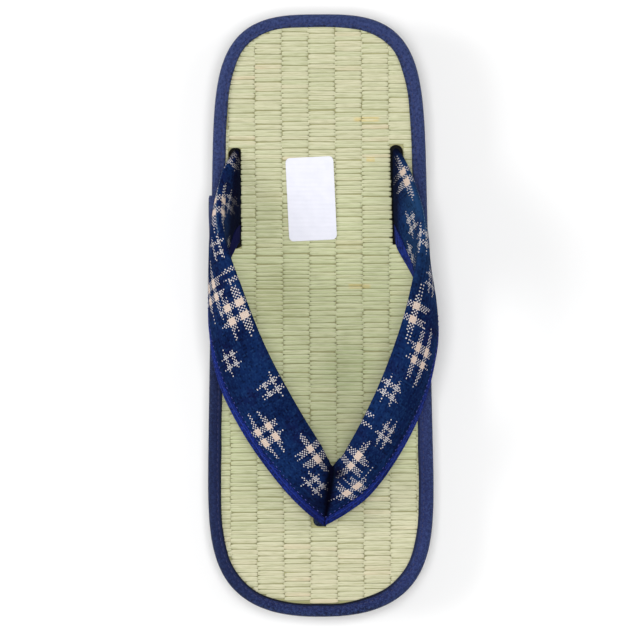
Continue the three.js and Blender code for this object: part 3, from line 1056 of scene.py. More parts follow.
# %% Curves through the rows
def curve_through(knots, places):
    """Points of a centripetal Catmull-Rom curve, at places counted in knots."""
    first = 2 * knots[0] - knots[1]
    last = 2 * knots[-1] - knots[-2]
    full = np.vstack([first, knots, last])
    span = np.clip(np.floor(places).astype(int), 0, len(knots) - 2)
    share = (places - span)[:, None]
    p0, p1, p2, p3 = (full[span + i] for i in range(4))
    d0, d1, d2 = (
        np.maximum(np.linalg.norm(b - a, axis=1), 1e-8)[:, None] ** 0.5
        for a, b in ((p0, p1), (p1, p2), (p2, p3))
    )
    d0 = np.where(d0 < 1e-3, d1, d0)
    d2 = np.where(d2 < 1e-3, d1, d2)
    lead = ((p1 - p0) / d0 - (p2 - p0) / (d0 + d1) + (p2 - p1) / d1) * d1
    tail = ((p2 - p1) / d1 - (p3 - p1) / (d1 + d2) + (p3 - p2) / d2) * d1
    c2 = -3 * p1 + 3 * p2 - 2 * lead - tail
    c3 = 2 * p1 - 2 * p2 + lead + tail
    return p1 + lead * share + c2 * share**2 + c3 * share**3


def strap_curve(knots, places):
    """A curve through the strap's rows that turns a corner at the fold."""
    right = curve_through(knots[: FOLD_ROW + 1], np.clip(places, 0, FOLD_ROW))
    left = curve_through(knots[FOLD_ROW:], np.clip(places, FOLD_ROW, LAST_ROW) - FOLD_ROW)
    return np.where((places <= FOLD_ROW)[:, None], right, left)


OUTER = STRAP_ROWS[:, 0:3].copy()
OUTER[:, 2] += footbed_top(OUTER[:, 1])
INNER = STRAP_ROWS[:, 3:6].copy()
INNER[:, 2] += footbed_top(INNER[:, 1])
PADDING = np.column_stack([STRAP_ROWS[:, 6:8], np.zeros(LAST_ROW + 1)])
print("strap up to", round(INNER[:, 2].max(), 1), "mm high")

# %% [markdown]
# A band knows, for places along the strap, where both edges are, how wide it is, which
# way it faces and how thick its padding is. `place` turns a distance from the outer edge
# and a height over the band's middle into a point.

# %% The band
NOSE = 1.6
DOME_POWER = 0.7
SPAN_STEPS = 16


class Band:
    """The strap's frame at places counted in rows: edges, width, facing and padding."""

    def __init__(self, places):
        self.places = places
        self.pad = strap_curve(PADDING, places)
        across = strap_curve(INNER, places) - strap_curve(OUTER, places)
        full_width = np.linalg.norm(across, axis=1)
        self.across = across / full_width[:, None]
        self.width = full_width - 2 * NOSE
        self.outer = strap_curve(OUTER, places) + self.across * NOSE
        self.inner = strap_curve(INNER, places) - self.across * NOSE
        reach = 0.5 * LAST_ROW / (LAST_ROW + 1)
        run = self.middle(places + reach) - self.middle(places - reach)
        self.facing = np.cross(self.across, run)
        self.facing /= np.linalg.norm(self.facing, axis=1)[:, None]

    def middle(self, places):
        places = np.clip(places, 0, LAST_ROW)
        return (strap_curve(OUTER, places) + strap_curve(INNER, places)) / 2

    def dome(self, u):
        share = clamp01(u / self.width[:, None])
        return clamp01(4 * share * (1 - share)) ** DOME_POWER

    def top(self, u):
        return NOSE + self.pad[:, 0:1] * self.dome(u)

    def under(self, u):
        return -NOSE - self.pad[:, 1:2] * self.dome(u)

    def place(self, u, v):
        """Points u from the outer edge and v along the facing, for each place."""
        return (
            self.outer[:, None, :]
            + self.across[:, None, :] * u[..., None]
            + self.facing[:, None, :] * v[..., None]
        )


band = Band(np.linspace(0, LAST_ROW, LAST_ROW * SPAN_STEPS + 1))
print("strap width", round(band.width.min(), 1), "to", round(band.width.max(), 1), "mm")

# %% [markdown]
# ## Strap cloth: padding, gathers and troughs
# Wadding makes the band swell between its edges. Where the two halves fold over the toe
# post the cloth is pinched into a deep crease, with short gathers that fan out from the
# notch. Where each half twists up out of its slot a soft trough runs across. Each of
# these is placed and pressed into the loft as a smooth valley or ridge.

# %% Folds and shade
TOP_SHARES = 34
NOSE_STEPS = 7
CREASE_NARROW = 0.2
CREASE_DEEP = 5.0
SHADE_WIDE = 0.2
GATHER_SIZE = 0.8
GATHER_REACH = 11.0
GATHER_COUNT = 9.0
NOTCH = (5.2, -65.0)
# Troughs: row, share across, reach in rows, reach in shares, depth.
TROUGHS = (
    (3.3, 0.62, 0.42, 0.30, 0.9),
    (2.5, 0.35, 0.30, 0.30, 0.6),
    (14.75, 0.60, 0.42, 0.30, 0.9),
    (15.6, 0.35, 0.30, 0.30, 0.6),
    (6.6, 0.70, 0.28, 0.22, 0.5),
    (11.6, 0.72, 0.28, 0.22, 0.5),
    (7.7, 0.42, 0.22, 0.25, 0.45),
    (10.4, 0.45, 0.22, 0.25, 0.45),
)
# Patches of painted shade on the cloth: middle in plan and radius.
NOTCH_PATCH = ((6.8, -69.0), 3.9)
TIP_PATCH = ((-0.5, -82.5), 7.5)
# Strengths of the painted shade at the tip, at the notch's lip, near the footbed and on both roots.
TIP_DARK = 0.65
LIP_DARK = 0.75
LOW_DARK = 0.85
LOW_HEIGHT = (8.0, 0.5)
LEFT_ROOT_DARK = 0.9
RIGHT_ROOT_DARK = 0.8
# Roots in the slots: rows and x where the shade begins and is full, and the left one's slant.
LEFT_ROWS = (14.6, 15.5)
RIGHT_ROWS = (3.2, 2.5)
LEFT_LINE = (-38.4, 3.0, 72.0, 37.0)
LEFT_SOFT = 2.6
RIGHT_LINE = (35.6, 33.8)


def fold_depth(flat, places, share):
    """How far the cloth's upper face sinks at each point of the loft."""
    off = (places - FOLD_ROW)[:, None]
    narrow = CREASE_NARROW + 0.9 * share**2
    depth = CREASE_DEEP * (0.55 + 0.45 * share) * np.exp(-(np.abs(off / narrow) ** 1.3))
    for row, middle, long, wide, deep in TROUGHS:
        near = ((places - row) / long) ** 2
        depth = depth + deep * np.exp(-near[:, None] - ((share - middle) / wide) ** 2)
    gap = flat - np.array(NOTCH)
    far = np.linalg.norm(gap, axis=-1)
    angle = np.arctan2(gap[..., 0], -gap[..., 1])
    ripple = np.cos(angle * GATHER_COUNT + 0.6) * np.exp(-far / GATHER_REACH)
    return depth + GATHER_SIZE * ripple * smooth(0.5, 4.0, far)


def blob(x, y, middle, wide):
    """A soft round patch in plan, one in the middle and falling to nothing."""
    return np.exp(-(((x - middle[0]) / wide) ** 2) - ((y - middle[1]) / wide) ** 2)


# The cloth is painted darker where shade falls: in the fold, beside the notch, at the tip, near the
# footbed and on the roots inside the slots.
def cloth_shade(band, points, shares):
    """How much painted shade each point gets: in the fold, at the notch, at the tip, near the footbed
    and inside the slots.
    """
    places = band.places[:, None]
    off = places - FOLD_ROW
    x = points[..., 0]
    y = points[..., 1]
    height = points[..., 2] - footbed_top(y)
    under = np.arange(len(shares)) >= TOP_SHARES + NOSE_STEPS
    line, slant, begin, long = LEFT_LINE
    line = line - slant * clamp01((begin - y) / long)
    left_root = smooth(*LEFT_ROWS, places) * smooth(line, line + LEFT_SOFT, x)
    right_root = smooth(*RIGHT_ROWS, places) * smooth(*RIGHT_LINE, x)
    return np.maximum.reduce([
        np.exp(-((off / (SHADE_WIDE + 1.2 * shares**2)) ** 2)),
        LIP_DARK * np.exp(-((off / 1.2) ** 2)) * smooth(0.8, 1.0, shares),
        blob(x, y, *NOTCH_PATCH),
        TIP_DARK * blob(x, y, *TIP_PATCH) * (off > 0),
        LOW_DARK * smooth(*LOW_HEIGHT, height),
        LEFT_ROOT_DARK * left_root * under,
        RIGHT_ROOT_DARK * right_root * under,
    ])


print(len(TROUGHS), "troughs set by hand")

# %% [markdown]
# A ring of the cloth begins inside the edging, crosses the upper face, turns round the
# inner nose, comes back along the under face and closes inside the edging. What the
# edging covers is a thinner tongue.

# %% Strap section
UNDER_SHARES = 24
EDGING_TOP = 2.4
EDGING_UNDER = 7.0
TONGUE = 0.95
BACK_LAY = 0.4
CLOTH_WIDTH = 28.0


def strap_loops(band):
    """Rings of the cloth: nose inside the edging, upper face, inner nose, under face."""
    width = band.width[:, None]
    ease_top = (1 - np.cos(np.pi * np.linspace(0, 1, TOP_SHARES))) / 2
    share_top = 0.35 * ease_top + 0.65 * np.linspace(0, 1, TOP_SHARES)
    share_under = np.linspace(1, 0, UNDER_SHARES)
    u_top = width * share_top
    u_under = width * share_under
    v_top = band.top(u_top) - TONGUE * (1 - smooth(EDGING_TOP - 0.1, EDGING_TOP + 0.4, u_top))
    flat = band.place(u_top, v_top)[..., :2]
    v_top = v_top - fold_depth(flat, band.places, share_top) * smooth(0.05, 0.22, share_top)
    v_top = np.maximum(v_top, band.under(u_top) + 0.8)
    v_under = band.under(u_under)
    v_under = v_under + TONGUE * (1 - smooth(EDGING_UNDER - 0.1, EDGING_UNDER + 0.5, u_under))
    turn = np.linspace(90, -90, NOSE_STEPS + 2)[1:-1]
    nose_high = v_top[:, -1:]
    nose_low = v_under[:, :1]
    u_nose = width + (nose_high - nose_low) / 2 * np.cos(np.radians(turn))
    v_nose = (nose_high + nose_low) / 2 + (nose_high - nose_low) / 2 * np.sin(np.radians(turn))
    slim = NOSE - TONGUE
    u_back = -slim * np.cos(np.radians(turn)) * np.ones_like(width)
    v_back = -slim * np.sin(np.radians(turn)) * np.ones_like(width)
    u = np.hstack([u_top, u_nose, u_under, u_back])
    v = np.hstack([v_top, v_nose, v_under, v_back])
    rim = np.pi * NOSE
    lay = np.hstack([
        share_top * CLOTH_WIDTH,
        CLOTH_WIDTH + rim * np.arange(1, NOSE_STEPS + 1) / (NOSE_STEPS + 1),
        CLOTH_WIDTH + rim + (1 - share_under) * CLOTH_WIDTH,
        2 * CLOTH_WIDTH + rim + np.arange(1, NOSE_STEPS + 1) * BACK_LAY,
    ])
    shares = np.hstack([share_top, np.ones(NOSE_STEPS), share_under, np.zeros(NOSE_STEPS)])
    points = band.place(u, v)
    # Painted shade for every point of the cloth.
    crease = cloth_shade(band, points, shares)
    return points, lay, shares, crease


print(TOP_SHARES + UNDER_SHARES + 2 * NOSE_STEPS, "points round the strap")

# %% [markdown]
# The kasuri yarns run straight along the band and across it, and each half of the band is
# its own strip of cloth up to the crease. So the UV map is laid per half: one axis is the
# length walked along a line of the band, the other the flat distance from its edge.

# %% Strap mesh and its UV map
SQUARE_ROWS = (5.0, 13.0)
RUN_MIDDLE = 150.0
HALF_SHIFT = 100.0

strap_points, strap_lay, strap_shares, strap_painted_shade = strap_loops(band)
strap_rings, strap_around = strap_points.shape[:2]


def walked(shares, row):
    """Length along each line of the band, zero at a row that lies square to it."""
    lines = band.outer[:, None] + (band.inner - band.outer)[:, None] * shares[None, :, None]
    steps = np.linalg.norm(np.diff(lines, axis=0), axis=2)
    total = np.vstack([np.zeros(len(shares)), np.cumsum(steps, axis=0)])
    return total - total[int(row * SPAN_STEPS)]


right_run = walked(strap_shares, SQUARE_ROWS[0])
left_run = -walked(strap_shares, SQUARE_ROWS[1])
strap_faces = skin(strap_rings, strap_around)
strap_uvs = []
for face in strap_faces:
    rings = [v // strap_around for v in face]
    left = sum(rings) / len(rings) > FOLD_ROW * SPAN_STEPS
    wraps = max(v % strap_around for v in face) == strap_around - 1 and len(face) == 4
    for ring, v in zip(rings, face):
        i = v % strap_around
        lay = strap_lay[i] if not (wraps and i == 0) else strap_lay[-1] + BACK_LAY
        run = (left_run if left else right_run)[ring, i]
        strap_uvs.append((RUN_MIDDLE + run, lay + (HALF_SHIFT if left else 0.0)))
print("cloth laid out over", len(strap_faces), "faces")

# %% [markdown]
# ## Kasuri figures
# Kasuri is plain weave from yarns that were tied and dyed before weaving. Where a bar of
# undyed warp meets a bar of undyed weft the cloth is solid pale, and where only one of
# them is undyed it shows as dots, because every second crossing hides it. The finish
# works the same way: it finds the warp and the weft of each crossing, asks both whether
# they are undyed there, and shows the one on top. The figures are the old well-frame of
# two bars over two, small or large, a large one with a single warp bar, and two weft bars
# alone. Where each one sits is listed in millimetres of plan and looked up on the cloth
# from above. Those on the under face are charted on the cloth itself.

# %% Chart of the figures
BARS = -1.0
SMALL = 0.0
LARGE = 1.0
TWIN = 2.0
NEAREST = ("figure_near", "figure_next", "figure_third")
FIGURES = (
    (-37.4, 68.5, SMALL), (-44.2, 49.0, LARGE), (-38.6, 49.0, SMALL), (-45.3, 30.3, SMALL),
    (-47.1, 10.0, LARGE), (-36.8, 2.0, LARGE), (-39.0, -20.0, SMALL), (-37.3, 18.8, BARS),
    (-21.8, -31.0, SMALL), (-23.1, -51.6, LARGE), (-3.1, -60.6, TWIN), (-2.4, -74.0, SMALL),
    (37.8, 60.8, TWIN), (40.2, 40.1, SMALL), (45.4, 34.2, SMALL), (48.6, 14.9, SMALL),
    (41.5, 0.6, TWIN), (43.2, -18.6, LARGE), (30.2, -32.7, SMALL), (28.3, -51.6, SMALL),
    (18.8, -44.4, BARS), (14.4, -63.8, TWIN), (13.7, -76.3, TWIN),
)
HIDDEN_FIGURES = (
    (95.0, 52.0, SMALL), (112.0, 43.0, LARGE), (130.0, 52.0, LARGE), (148.0, 43.0, SMALL),
    (165.0, 52.0, SMALL), (182.0, 43.0, LARGE), (200.0, 52.0, LARGE), (217.0, 43.0, SMALL),
)


def find_figures(piece):
    """Middles of the faces, and each figure's run and lay in metres with its kind."""
    mesh = piece.data
    uvs = np.zeros(len(mesh.loops) * 2)
    mesh.uv_layers["cloth"].data.foreach_get("uv", uvs)
    uvs = uvs.reshape(-1, 2)
    middles = np.array([uvs[list(p.loop_indices)].mean(axis=0) for p in mesh.polygons])
    tree = BVHTree.FromPolygons([v.co for v in mesh.vertices], [p.vertices for p in mesh.polygons])
    found = []
    for x, y, kind in FIGURES:
        _, _, face, _ = tree.ray_cast(Vector((x * MM, y * MM, 0.2)), Vector((0, 0, -1)))
        if face is not None:
            found.append((*middles[face], kind))
    for run, lay, kind in HIDDEN_FIGURES:
        found.append((run * MM, lay * MM, kind))
        found.append((run * MM, (lay + HALF_SHIFT) * MM, kind))
    return middles, np.array(found)


def chart_figures(piece):
    """Writes the three nearest figures on every face of the cloth."""
    middles, found = find_figures(piece)
    gaps = np.linalg.norm(middles[:, None, :] - found[None, :, :2], axis=2)
    order = np.argsort(gaps, axis=1)
    for place, name in enumerate(NEAREST):
        layer = piece.data.attributes.new(name, "FLOAT_VECTOR", "FACE")
        layer.data.foreach_set("vector", found[order[:, place]].ravel())
    print(len(found), "figures charted")


# %% [markdown]
# Each crossing of the weave looks at the three figures nearest to it. The indigo round
# them is clouded and speckled yarn by yarn. Painted light lightens the right root, and
# painted shade darkens the folds, the notch, the tip, the cloth near the footbed and the roots.

# %% Kasuri finish
THREAD = 0.00074
DOT = 0.37
SEAM_LAY = 0.0288
SEAM_BEFORE = 0.095
WARP_GAP = (0.0023, 0.0033)
WEFT_GAP = (0.0022, 0.00285)
BAR_HALF = (0.001, 0.0016)
ARM_RUN = (0.0064, 0.0124)
ARM_OVER = (0.0064, 0.0094)


def sized(large, pair):
    return large * (pair[1] - pair[0]) + pair[0]


kasuri = Finish(
    "kasuri_cloth",
    Specular_IOR_Level=COTTON_SHINE,
    Sheen_Weight=CLOTH_SHEEN,
    Sheen_Tint=srgb(120, 170, 185),
)
run, lay, _ = kasuri.uv()
lay_on = lay % (HALF_SHIFT * MM)
warp = math.floor(lay / THREAD)
weft = math.floor(run / THREAD)
warp_lay = (warp + 0.5) * THREAD
weft_run = (weft + 0.5) * THREAD
white = {"noise_dimensions": "1D"}
warp_chance = kasuri.node("ShaderNodeTexWhiteNoise", white, {"W": warp * 1.37 + 3.0})
weft_chance = kasuri.node("ShaderNodeTexWhiteNoise", white, {"W": weft * 1.61 + 11.0})
warp_end = warp_chance * 0.6 + 0.5
weft_end = weft_chance * 0.6 + 0.5
warp_pale = 0.0
weft_pale = 0.0
bold = 0.0
for name in NEAREST:
    mid_run, mid_lay, kind = kasuri.attribute(name, "Vector").parts()
    large = kind > SMALL + 0.5
    paired = kind < TWIN - 0.5
    half = sized(large, BAR_HALF)
    warp_bar = abs(abs(warp_lay - mid_lay) - sized(large, WARP_GAP) * paired) < half
    warp_bar = warp_bar * (kind > BARS + 0.5)
    warp_arm = abs(run - mid_run) < sized(large, ARM_RUN) * warp_end
    weft_bar = abs(abs(weft_run - mid_run) - sized(large, WEFT_GAP)) < half
    weft_arm = abs(lay - mid_lay) < sized(large, ARM_OVER) * weft_end
    bold = (warp_bar * weft_bar * large).math("MAXIMUM", bold)
    warp_pale = (warp_bar * warp_arm).math("MAXIMUM", warp_pale)
    weft_pale = (weft_bar * weft_arm).math("MAXIMUM", weft_pale)
warp_up = (warp + weft) % 2.0
pale = warp_up * warp_pale + (1.0 - warp_up) * weft_pale
solid = warp_pale * weft_pale * bold
beside = abs((lay / THREAD) % 1.0 - 0.5)
before = abs((run / THREAD) % 1.0 - 0.5)
dot = beside.math("MAXIMUM", before) < DOT
pale = pale * solid.math("MAXIMUM", dot)
flat_cloth = kasuri.vector(run, lay)
cloud = kasuri.noise(flat_cloth, 60.0, 3.0)
slub = kasuri.noise(flat_cloth, 700.0, 2.0, 0.6)
cell = kasuri.vector(warp, weft)
crossing = kasuri.node("ShaderNodeTexWhiteNoise", {"noise_dimensions": "2D"}, {"Vector": cell})
speckle = crossing * 0.6 + warp_chance * 0.2 + weft_chance * 0.2
side, length, _ = kasuri.object_place().parts()
# Painted light: the right root is lightened where the light from the left falls on it.
painted_root_light = side.step(0.034, 0.042) * length.step(0.0, 0.055)
violet = kasuri.noise(flat_cloth, 95.0, 2.0)
seam = abs(lay_on - SEAM_LAY).step(0.0007, 0.0003) * (run < SEAM_BEFORE) * warp_up
indigo = kasuri.layers(
    srgb(8, 21, 58),
    (cloud.step(0.3, 0.7), srgb(14, 36, 79)),
    (painted_root_light * 0.7, srgb(34, 66, 104)),
    (violet.step(0.5, 0.7) * 0.5, srgb(17, 15, 56)),
    (speckle.step(0.5, 0.9) * 0.4, srgb(30, 60, 102)),
    (speckle.step(0.45, 0.1) * 0.6, srgb(4, 6, 22)),
    (seam * 0.5, srgb(130, 156, 180)),
)
undyed = kasuri.layers(
    srgb(196, 192, 192),
    (solid, srgb(206, 186, 170)),
    (speckle.step(0.4, 0.9) * 0.5, srgb(214, 203, 193)),
    ((1.0 - dot) * 0.35, srgb(120, 100, 100)),
)
# Painted shade from cloth_shade darkens the indigo and the figures.
crease = kasuri.attribute("crease") * 0.95
dye_and_painted_shade = kasuri.layers(indigo, (pale, undyed), (crease, srgb(6, 4, 22)))
kasuri.bump(slub + warp_up * 0.4, 0.0003, 0.3)
kasuri.wear(Base_Color=dye_and_painted_shade, Roughness=0.7 + slub * 0.25)

# %% [markdown]
# With its finish ready, the strap's mesh becomes a piece, and the figures are looked up
# on it. It stands for the padded CAD strap.

# %% Strap cloth
strap = make_piece("strap_cloth", strap_points, strap_faces, kasuri.material, 70.0, strap_uvs)
# Stores the painted shade on the cloth for its finish.
mark(strap, "crease", strap_painted_shade)
chart_figures(strap)
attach(strap, "root")
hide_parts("strap")

# %% [markdown]
# ## Blue edging
# A folded strip of bright blue cotton covers the strap's raw outer edge and is turned
# further in underneath than on top. Its section is a C with a pressed ridge along the
# fold, carried along the same band as the cloth.

# %% Edging finish and strip
EDGING_WALL = 0.7
RIDGE = 0.28
JOIN_DEEP = 0.9
RIDGE_LAY = 0.00245
JOIN_NARROW = 0.07
EDGING_BENEATH = 22
EDGING_STEP = 0.35
# Root: how dark, and the rows where it begins and is full. Tip: how dark, its row, its reach.
ROOT_SHADE = (0.95, 14.4, 15.2)
TIP_SHADE = (0.6, 9.5, 0.9)

edge_walk = distance_along(band.outer)
FOLD_RUN = edge_walk[FOLD_ROW * SPAN_STEPS]
edging, blue, along, over = cotton(
    "blue_edging",
    srgb(21, 39, 112),
    srgb(14, 28, 86),
    srgb(38, 58, 148),
    COTTON_SHINE,
    Sheen_Weight=CLOTH_SHEEN,
)
blue = edging.layers(
    blue,
    # Painted shadow: a near-black line in the gap where the two halves meet at the fold.
    (abs(along - FOLD_RUN * MM).step(0.0007, 0.0003) * 0.9, srgb(6, 7, 20)),
    # Painted highlight along the pressed ridge.
    (abs(over - RIDGE_LAY).step(0.0005, 0.0001) * 0.6, srgb(48, 66, 165)),
    (edging.attribute("shade"), srgb(10, 12, 60)),
)
edging.wear(Base_Color=blue)


def edging_loops(band):
    """Rings of the edging: outside from the top lip round the nose, and back inside."""
    ones = np.ones((len(band.width), 1))
    u_top = np.array([EDGING_TOP, 2.34, 2.15, 1.9, 1.6, 1.35, 1.15, 1.0, 0.85, 0.65, 0.45, 0.2, 0.0])
    turn = np.radians(np.linspace(90, 270, 11)[1:-1])
    u_under = np.array([0.0, 0.7, 1.5, 2.4, 3.3, 4.2, 5.1, 5.9, 6.6, EDGING_UNDER])
    join = JOIN_DEEP * np.exp(-(np.abs((band.places - FOLD_ROW) / JOIN_NARROW) ** 1.3))[:, None]
    loops = []
    for inset in (0.0, EDGING_WALL):
        ridge = RIDGE * np.exp(-(((u_top - 1.0) / 0.3) ** 2)) if inset == 0 else 0.0
        lip = 0.25 * smooth(2.1, EDGING_TOP, u_top) if inset == 0 else 0.0
        top = band.top(u_top * ones) - inset + ridge - lip - join
        under = band.under(u_under * ones) + inset
        nose = NOSE - inset - join * 0.5
        u = np.hstack([u_top * ones, nose * np.cos(turn), u_under * ones])
        v = np.hstack([top, nose * np.sin(turn) - join * 0.5, under])
        loops.append((u, v))
    u = np.hstack([loops[0][0], loops[1][0][:, ::-1]])
    v = np.hstack([loops[0][1], loops[1][1][:, ::-1]])
    return band.place(u, v)


edging_points = edging_loops(band)
edging_rings, edging_around = edging_points.shape[:2]
edging_faces = skin(edging_rings, edging_around)
edging_uvs = []
for ring, i in corners(edging_faces, edging_around):
    edging_uvs.append((edge_walk[ring], i * EDGING_STEP))
strip = make_piece(
    "strap_edge_tape", edging_points, edging_faces, edging.material, 60.0, edging_uvs
)
beneath = np.arange(edging_around) >= EDGING_BENEATH
dark, row_from, row_to = ROOT_SHADE
root_shade = dark * smooth(row_from, row_to, band.places)[:, None] * beneath
dark, tip_row, tip_wide = TIP_SHADE
tip_shade = dark * np.exp(-(((band.places - tip_row) / tip_wide) ** 2))[:, None]
mark(strip, "shade", np.maximum(root_shade, tip_shade))
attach(strip, "root")
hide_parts("strap_edging")

# %% [markdown]
# ## Stitches
# The edging and the edge tape are both sewn with a fine running stitch. A stitch is one
# small rounded bead, and a tree walks along a path and sets a bead at every step, turned
# to the path. A path following the surface is given as a chain of edges.

# %% Stitch tree
BEAD_STOPS = ((-0.5, 0.25), (-0.42, 0.8), (-0.2, 1.0), (0.2, 1.0), (0.42, 0.8), (0.5, 0.25))
BEAD_SIDES = 6
STITCH_WANDER = 0.12


def bead():
    """A stitch one unit long and one unit thick, lying along X."""
    points = []
    for x, thick in BEAD_STOPS:
        for turn in np.arange(BEAD_SIDES) * 2 * np.pi / BEAD_SIDES:
            points.append((x, thick * np.cos(turn) / 2, thick * np.sin(turn) / 2))
    return np.array(points) / MM, skin(len(BEAD_STOPS), BEAD_SIDES)


sewing = Tree(
    "running_stitch",
    Bead="Object",
    Finish="Material",
    Pitch="Float",
    Size="Vector",
    Seed="Int",
    Wander="Float",
)
given = sewing.given
path = sewing.node("GeometryNodeMeshToCurve", {}, {"Mesh": given["Geometry"]})
by_length = {"Curve": path, "Length": given["Pitch"]}
steps = sewing.node("GeometryNodeCurveToPoints", {"mode": "LENGTH"}, by_length)
tangent = steps.node.outputs["Tangent"]
aim = sewing.node("FunctionNodeAlignRotationToVector", {"axis": "X"}, {"Vector": tangent})
less = sewing.maths("SUBTRACT", 1.0, given["Wander"])
more = sewing.maths("ADD", 1.0, given["Wander"])
limits = {2: less, 3: more, "Seed": given["Seed"]}
vary = sewing.node("FunctionNodeRandomValue", {"data_type": "FLOAT"}, limits, out=1)
long = sewing.node("ShaderNodeVectorMath", {"operation": "SCALE"}, {0: given["Size"], "Scale": vary})
shape = sewing.node("GeometryNodeObjectInfo", {}, {"Object": given["Bead"]}, out="Geometry")
row = sewing.node(
    "GeometryNodeInstanceOnPoints",
    {},
    {"Points": steps, "Instance": shape, "Rotation": aim, "Scale": long},
)
sewing.finish(row)


def thread_finish(name, colour, dark):
    finish = Finish(name, Roughness=0.6)
    twist = finish.noise(finish.object_place(), 900.0, 2.0)
    finish.bump(twist, 0.0002, 0.4)
    finish.wear(Base_Color=finish.mix(twist, dark, colour))
    return finish.material


def sew(name, path_points, material, pitch, size, seed, closed=False):
    """A row of stitches along a path in millimetres."""
    count = len(path_points)
    links = [(i, (i + 1) % count) for i in range(count if closed else count - 1)]
    holder = chain(name + "_path", path_points, links)
    bead_points, bead_faces = bead()
    pattern = make_piece("bead", bead_points, bead_faces, material, 80.0)
    values = {"Bead": pattern, "Finish": material, "Pitch": pitch * MM}
    values |= {"Size": tuple(s * MM for s in size), "Seed": seed, "Wander": STITCH_WANDER}
    piece = sewing.grow(name, holder, values)
    bpy.data.objects.remove(pattern)
    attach(piece, "root")


# %% [markdown]
# The edging's row runs on the cloth close to its upper lip and stops before the tails.
# The tape's row lies in its trough, all the way round.

# %% Sew the edging and the tape
EDGING_STITCH_IN = 3.1
SEAM_STOPS = 1.6
SEAM_POINTS = 400

sewn = Band(np.linspace(SEAM_STOPS, LAST_ROW - SEAM_STOPS, SEAM_POINTS))
seam_u = np.full((SEAM_POINTS, 1), EDGING_STITCH_IN)
edging_path = sewn.place(seam_u, sewn.top(seam_u) + 0.02)[:, 0]
blue_thread = thread_finish("blue_thread", srgb(66, 70, 160), srgb(36, 40, 112))
sew("edging_stitches", edging_path, blue_thread, 2.4, (0.8, 0.36, 0.3), 3)
trough = ground + puff + TAPE_TOP - STITCH_DENT
tape_path = ring_at(lip_reach(STITCH_INSET), trough + 0.05)
navy_thread = thread_finish("navy_thread", srgb(42, 46, 92), srgb(22, 24, 60))
sew("tape_stitches", tape_path, navy_thread, 2.5, (1.5, 0.34, 0.3), 4, closed=True)

# %% [markdown]
# ## Toe post
# A rolled tongue of the same dark cloth comes up through the toe hole and is sewn under
# the fold. Two soft lobes with a valley between them show that it is a folded strip. It
# leans back a little as it rises, and its head is hidden by the strap.

# %% Toe post
POST_HALF = (3.2, 2.6)
POST_X = 0.0
POST_FOOT = -90.4
POST_HEAD = -84.5
POST_HEAD_HIGH = 11.0
POST_ROOT = 5.8
POST_RINGS = 22
POST_AROUND = 48
POST_LOBE = (0.24, 0.22)
POST_SWELL = 0.05
POST_SQUARE = 0.75
POST_LAY = (0.5, 0.8)

post_cloth, teal, _, _ = cotton(
    "post_cloth",
    srgb(28, 44, 88),
    srgb(18, 28, 62),
    srgb(48, 70, 106),
    COTTON_SHINE,
    Sheen_Weight=CLOTH_SHEEN,
)
post_cloth.wear(Base_Color=teal)
post_points = []
turn = np.arange(POST_AROUND) * 2 * np.pi / POST_AROUND
for rise in np.linspace(-POST_ROOT, POST_HEAD_HIGH, POST_RINGS):
    share = rise / POST_HEAD_HIGH
    middle = POST_FOOT + (POST_HEAD - POST_FOOT) * share
    lobes = 1.0 - POST_LOBE[0] * np.exp(-((np.cos(turn) / POST_LOBE[1]) ** 2))
    swell = 1.0 + POST_SWELL * math.sin(math.pi * clamp01(share))
    square = np.sign(np.cos(turn)) * np.abs(np.cos(turn)) ** POST_SQUARE
    x = POST_X + POST_HALF[0] * square * swell
    y = middle + POST_HALF[1] * np.sin(turn) * lobes * swell
    level = np.full(POST_AROUND, footbed_top(POST_FOOT) + rise)
    post_points.append(np.column_stack([x, y, level]))
post_faces = skin(POST_RINGS, POST_AROUND)
post_uvs = []
for ring, i in corners(post_faces, POST_AROUND):
    post_uvs.append((i * POST_LAY[0], ring * POST_LAY[1]))
post = make_piece(
    "toe_post_cloth", post_points, post_faces, post_cloth.material, 60.0, post_uvs
)
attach(post, "root")
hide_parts("toe_post")

# %% [markdown]
# ## Paper label
# A blank slip of white paper with rounded corners is stuck on the rush between the two
# slots. It is a thin closed sheet that takes up a trace of the ribs below.

# %% Paper label
LABEL_HALF = (10.5, 18.3)
LABEL_MIDDLE = (-3.6, 51.4)
LABEL_CORNER = 2.0
LABEL_TURN = 2.4
LABEL_THICK = 0.16
LABEL_LIFT = 0.9
LABEL_RIB = 0.035
LABEL_ROWS = 62
CORNER_ROWS = 6
LABEL_ACROSS = 13

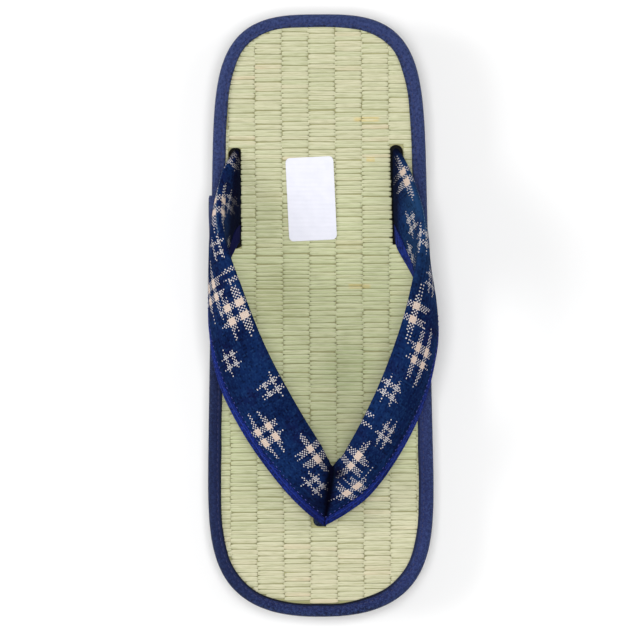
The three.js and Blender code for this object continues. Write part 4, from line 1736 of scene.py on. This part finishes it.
paper = Finish("label_paper", Roughness=0.55)
place = paper.object_place()
pulp = paper.noise(place, 260.0, 4.0)
ribs = paper.node("ShaderNodeTexWave", {"bands_direction": "Y"}, {"Vector": place, "Scale": 162.0})
paper.bump(pulp + ribs * 0.5, 0.0001, 0.35)
paper.wear(Base_Color=paper.mix(pulp, srgb(208, 209, 220), srgb(222, 222, 232)))


def label_sheet():
    """Rounded sheet as strips from side to side, an upper and a lower face."""
    turn = math.radians(LABEL_TURN)
    corner = np.radians(np.linspace(0, 90, CORNER_ROWS))
    dips = LABEL_CORNER * (1 - np.sin(corner))
    ends = LABEL_HALF[1] - LABEL_CORNER + LABEL_CORNER * np.cos(corner)
    rows = list(zip(-ends, LABEL_HALF[0] - dips))
    rows += [(y, LABEL_HALF[0]) for y in np.linspace(-ends[-1], ends[-1], LABEL_ROWS)[1:-1]]
    rows += [(-y, half) for y, half in rows[:CORNER_ROWS][::-1]]
    shares = np.linspace(-1, 1, LABEL_ACROSS)
    sheet = []
    for lift in (LABEL_LIFT + LABEL_THICK, LABEL_LIFT):
        for v, half in rows:
            u = shares * half
            x = LABEL_MIDDLE[0] + u * math.cos(turn) - v * math.sin(turn)
            y = LABEL_MIDDLE[1] + u * math.sin(turn) + v * math.cos(turn)
            z = footbed_top(y) + lift + LABEL_RIB * np.cos(2 * np.pi * y / ROW)
            sheet.append(np.column_stack([x, y, z]))
    return sheet, len(rows)


label_points, label_rows = label_sheet()
grid = np.arange(label_rows * LABEL_ACROSS).reshape(label_rows, LABEL_ACROSS)
quads = np.dstack([grid[:-1, :-1], grid[:-1, 1:], grid[1:, 1:], grid[1:, :-1]])
label_faces = []
for quad in quads.reshape(-1, 4):
    label_faces.append(quad.tolist())
    label_faces.append((quad + grid.size)[::-1].tolist())
rim = np.concatenate([grid[0, :-1], grid[:, -1], grid[-1, -2::-1], grid[-2:0:-1, 0]])
for a, b in zip(rim.tolist(), np.roll(rim, -1).tolist()):
    label_faces.append((b, a, a + grid.size, b + grid.size))
label = make_piece("paper_label", label_points, label_faces, paper.material, 40.0)
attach(label, "root")
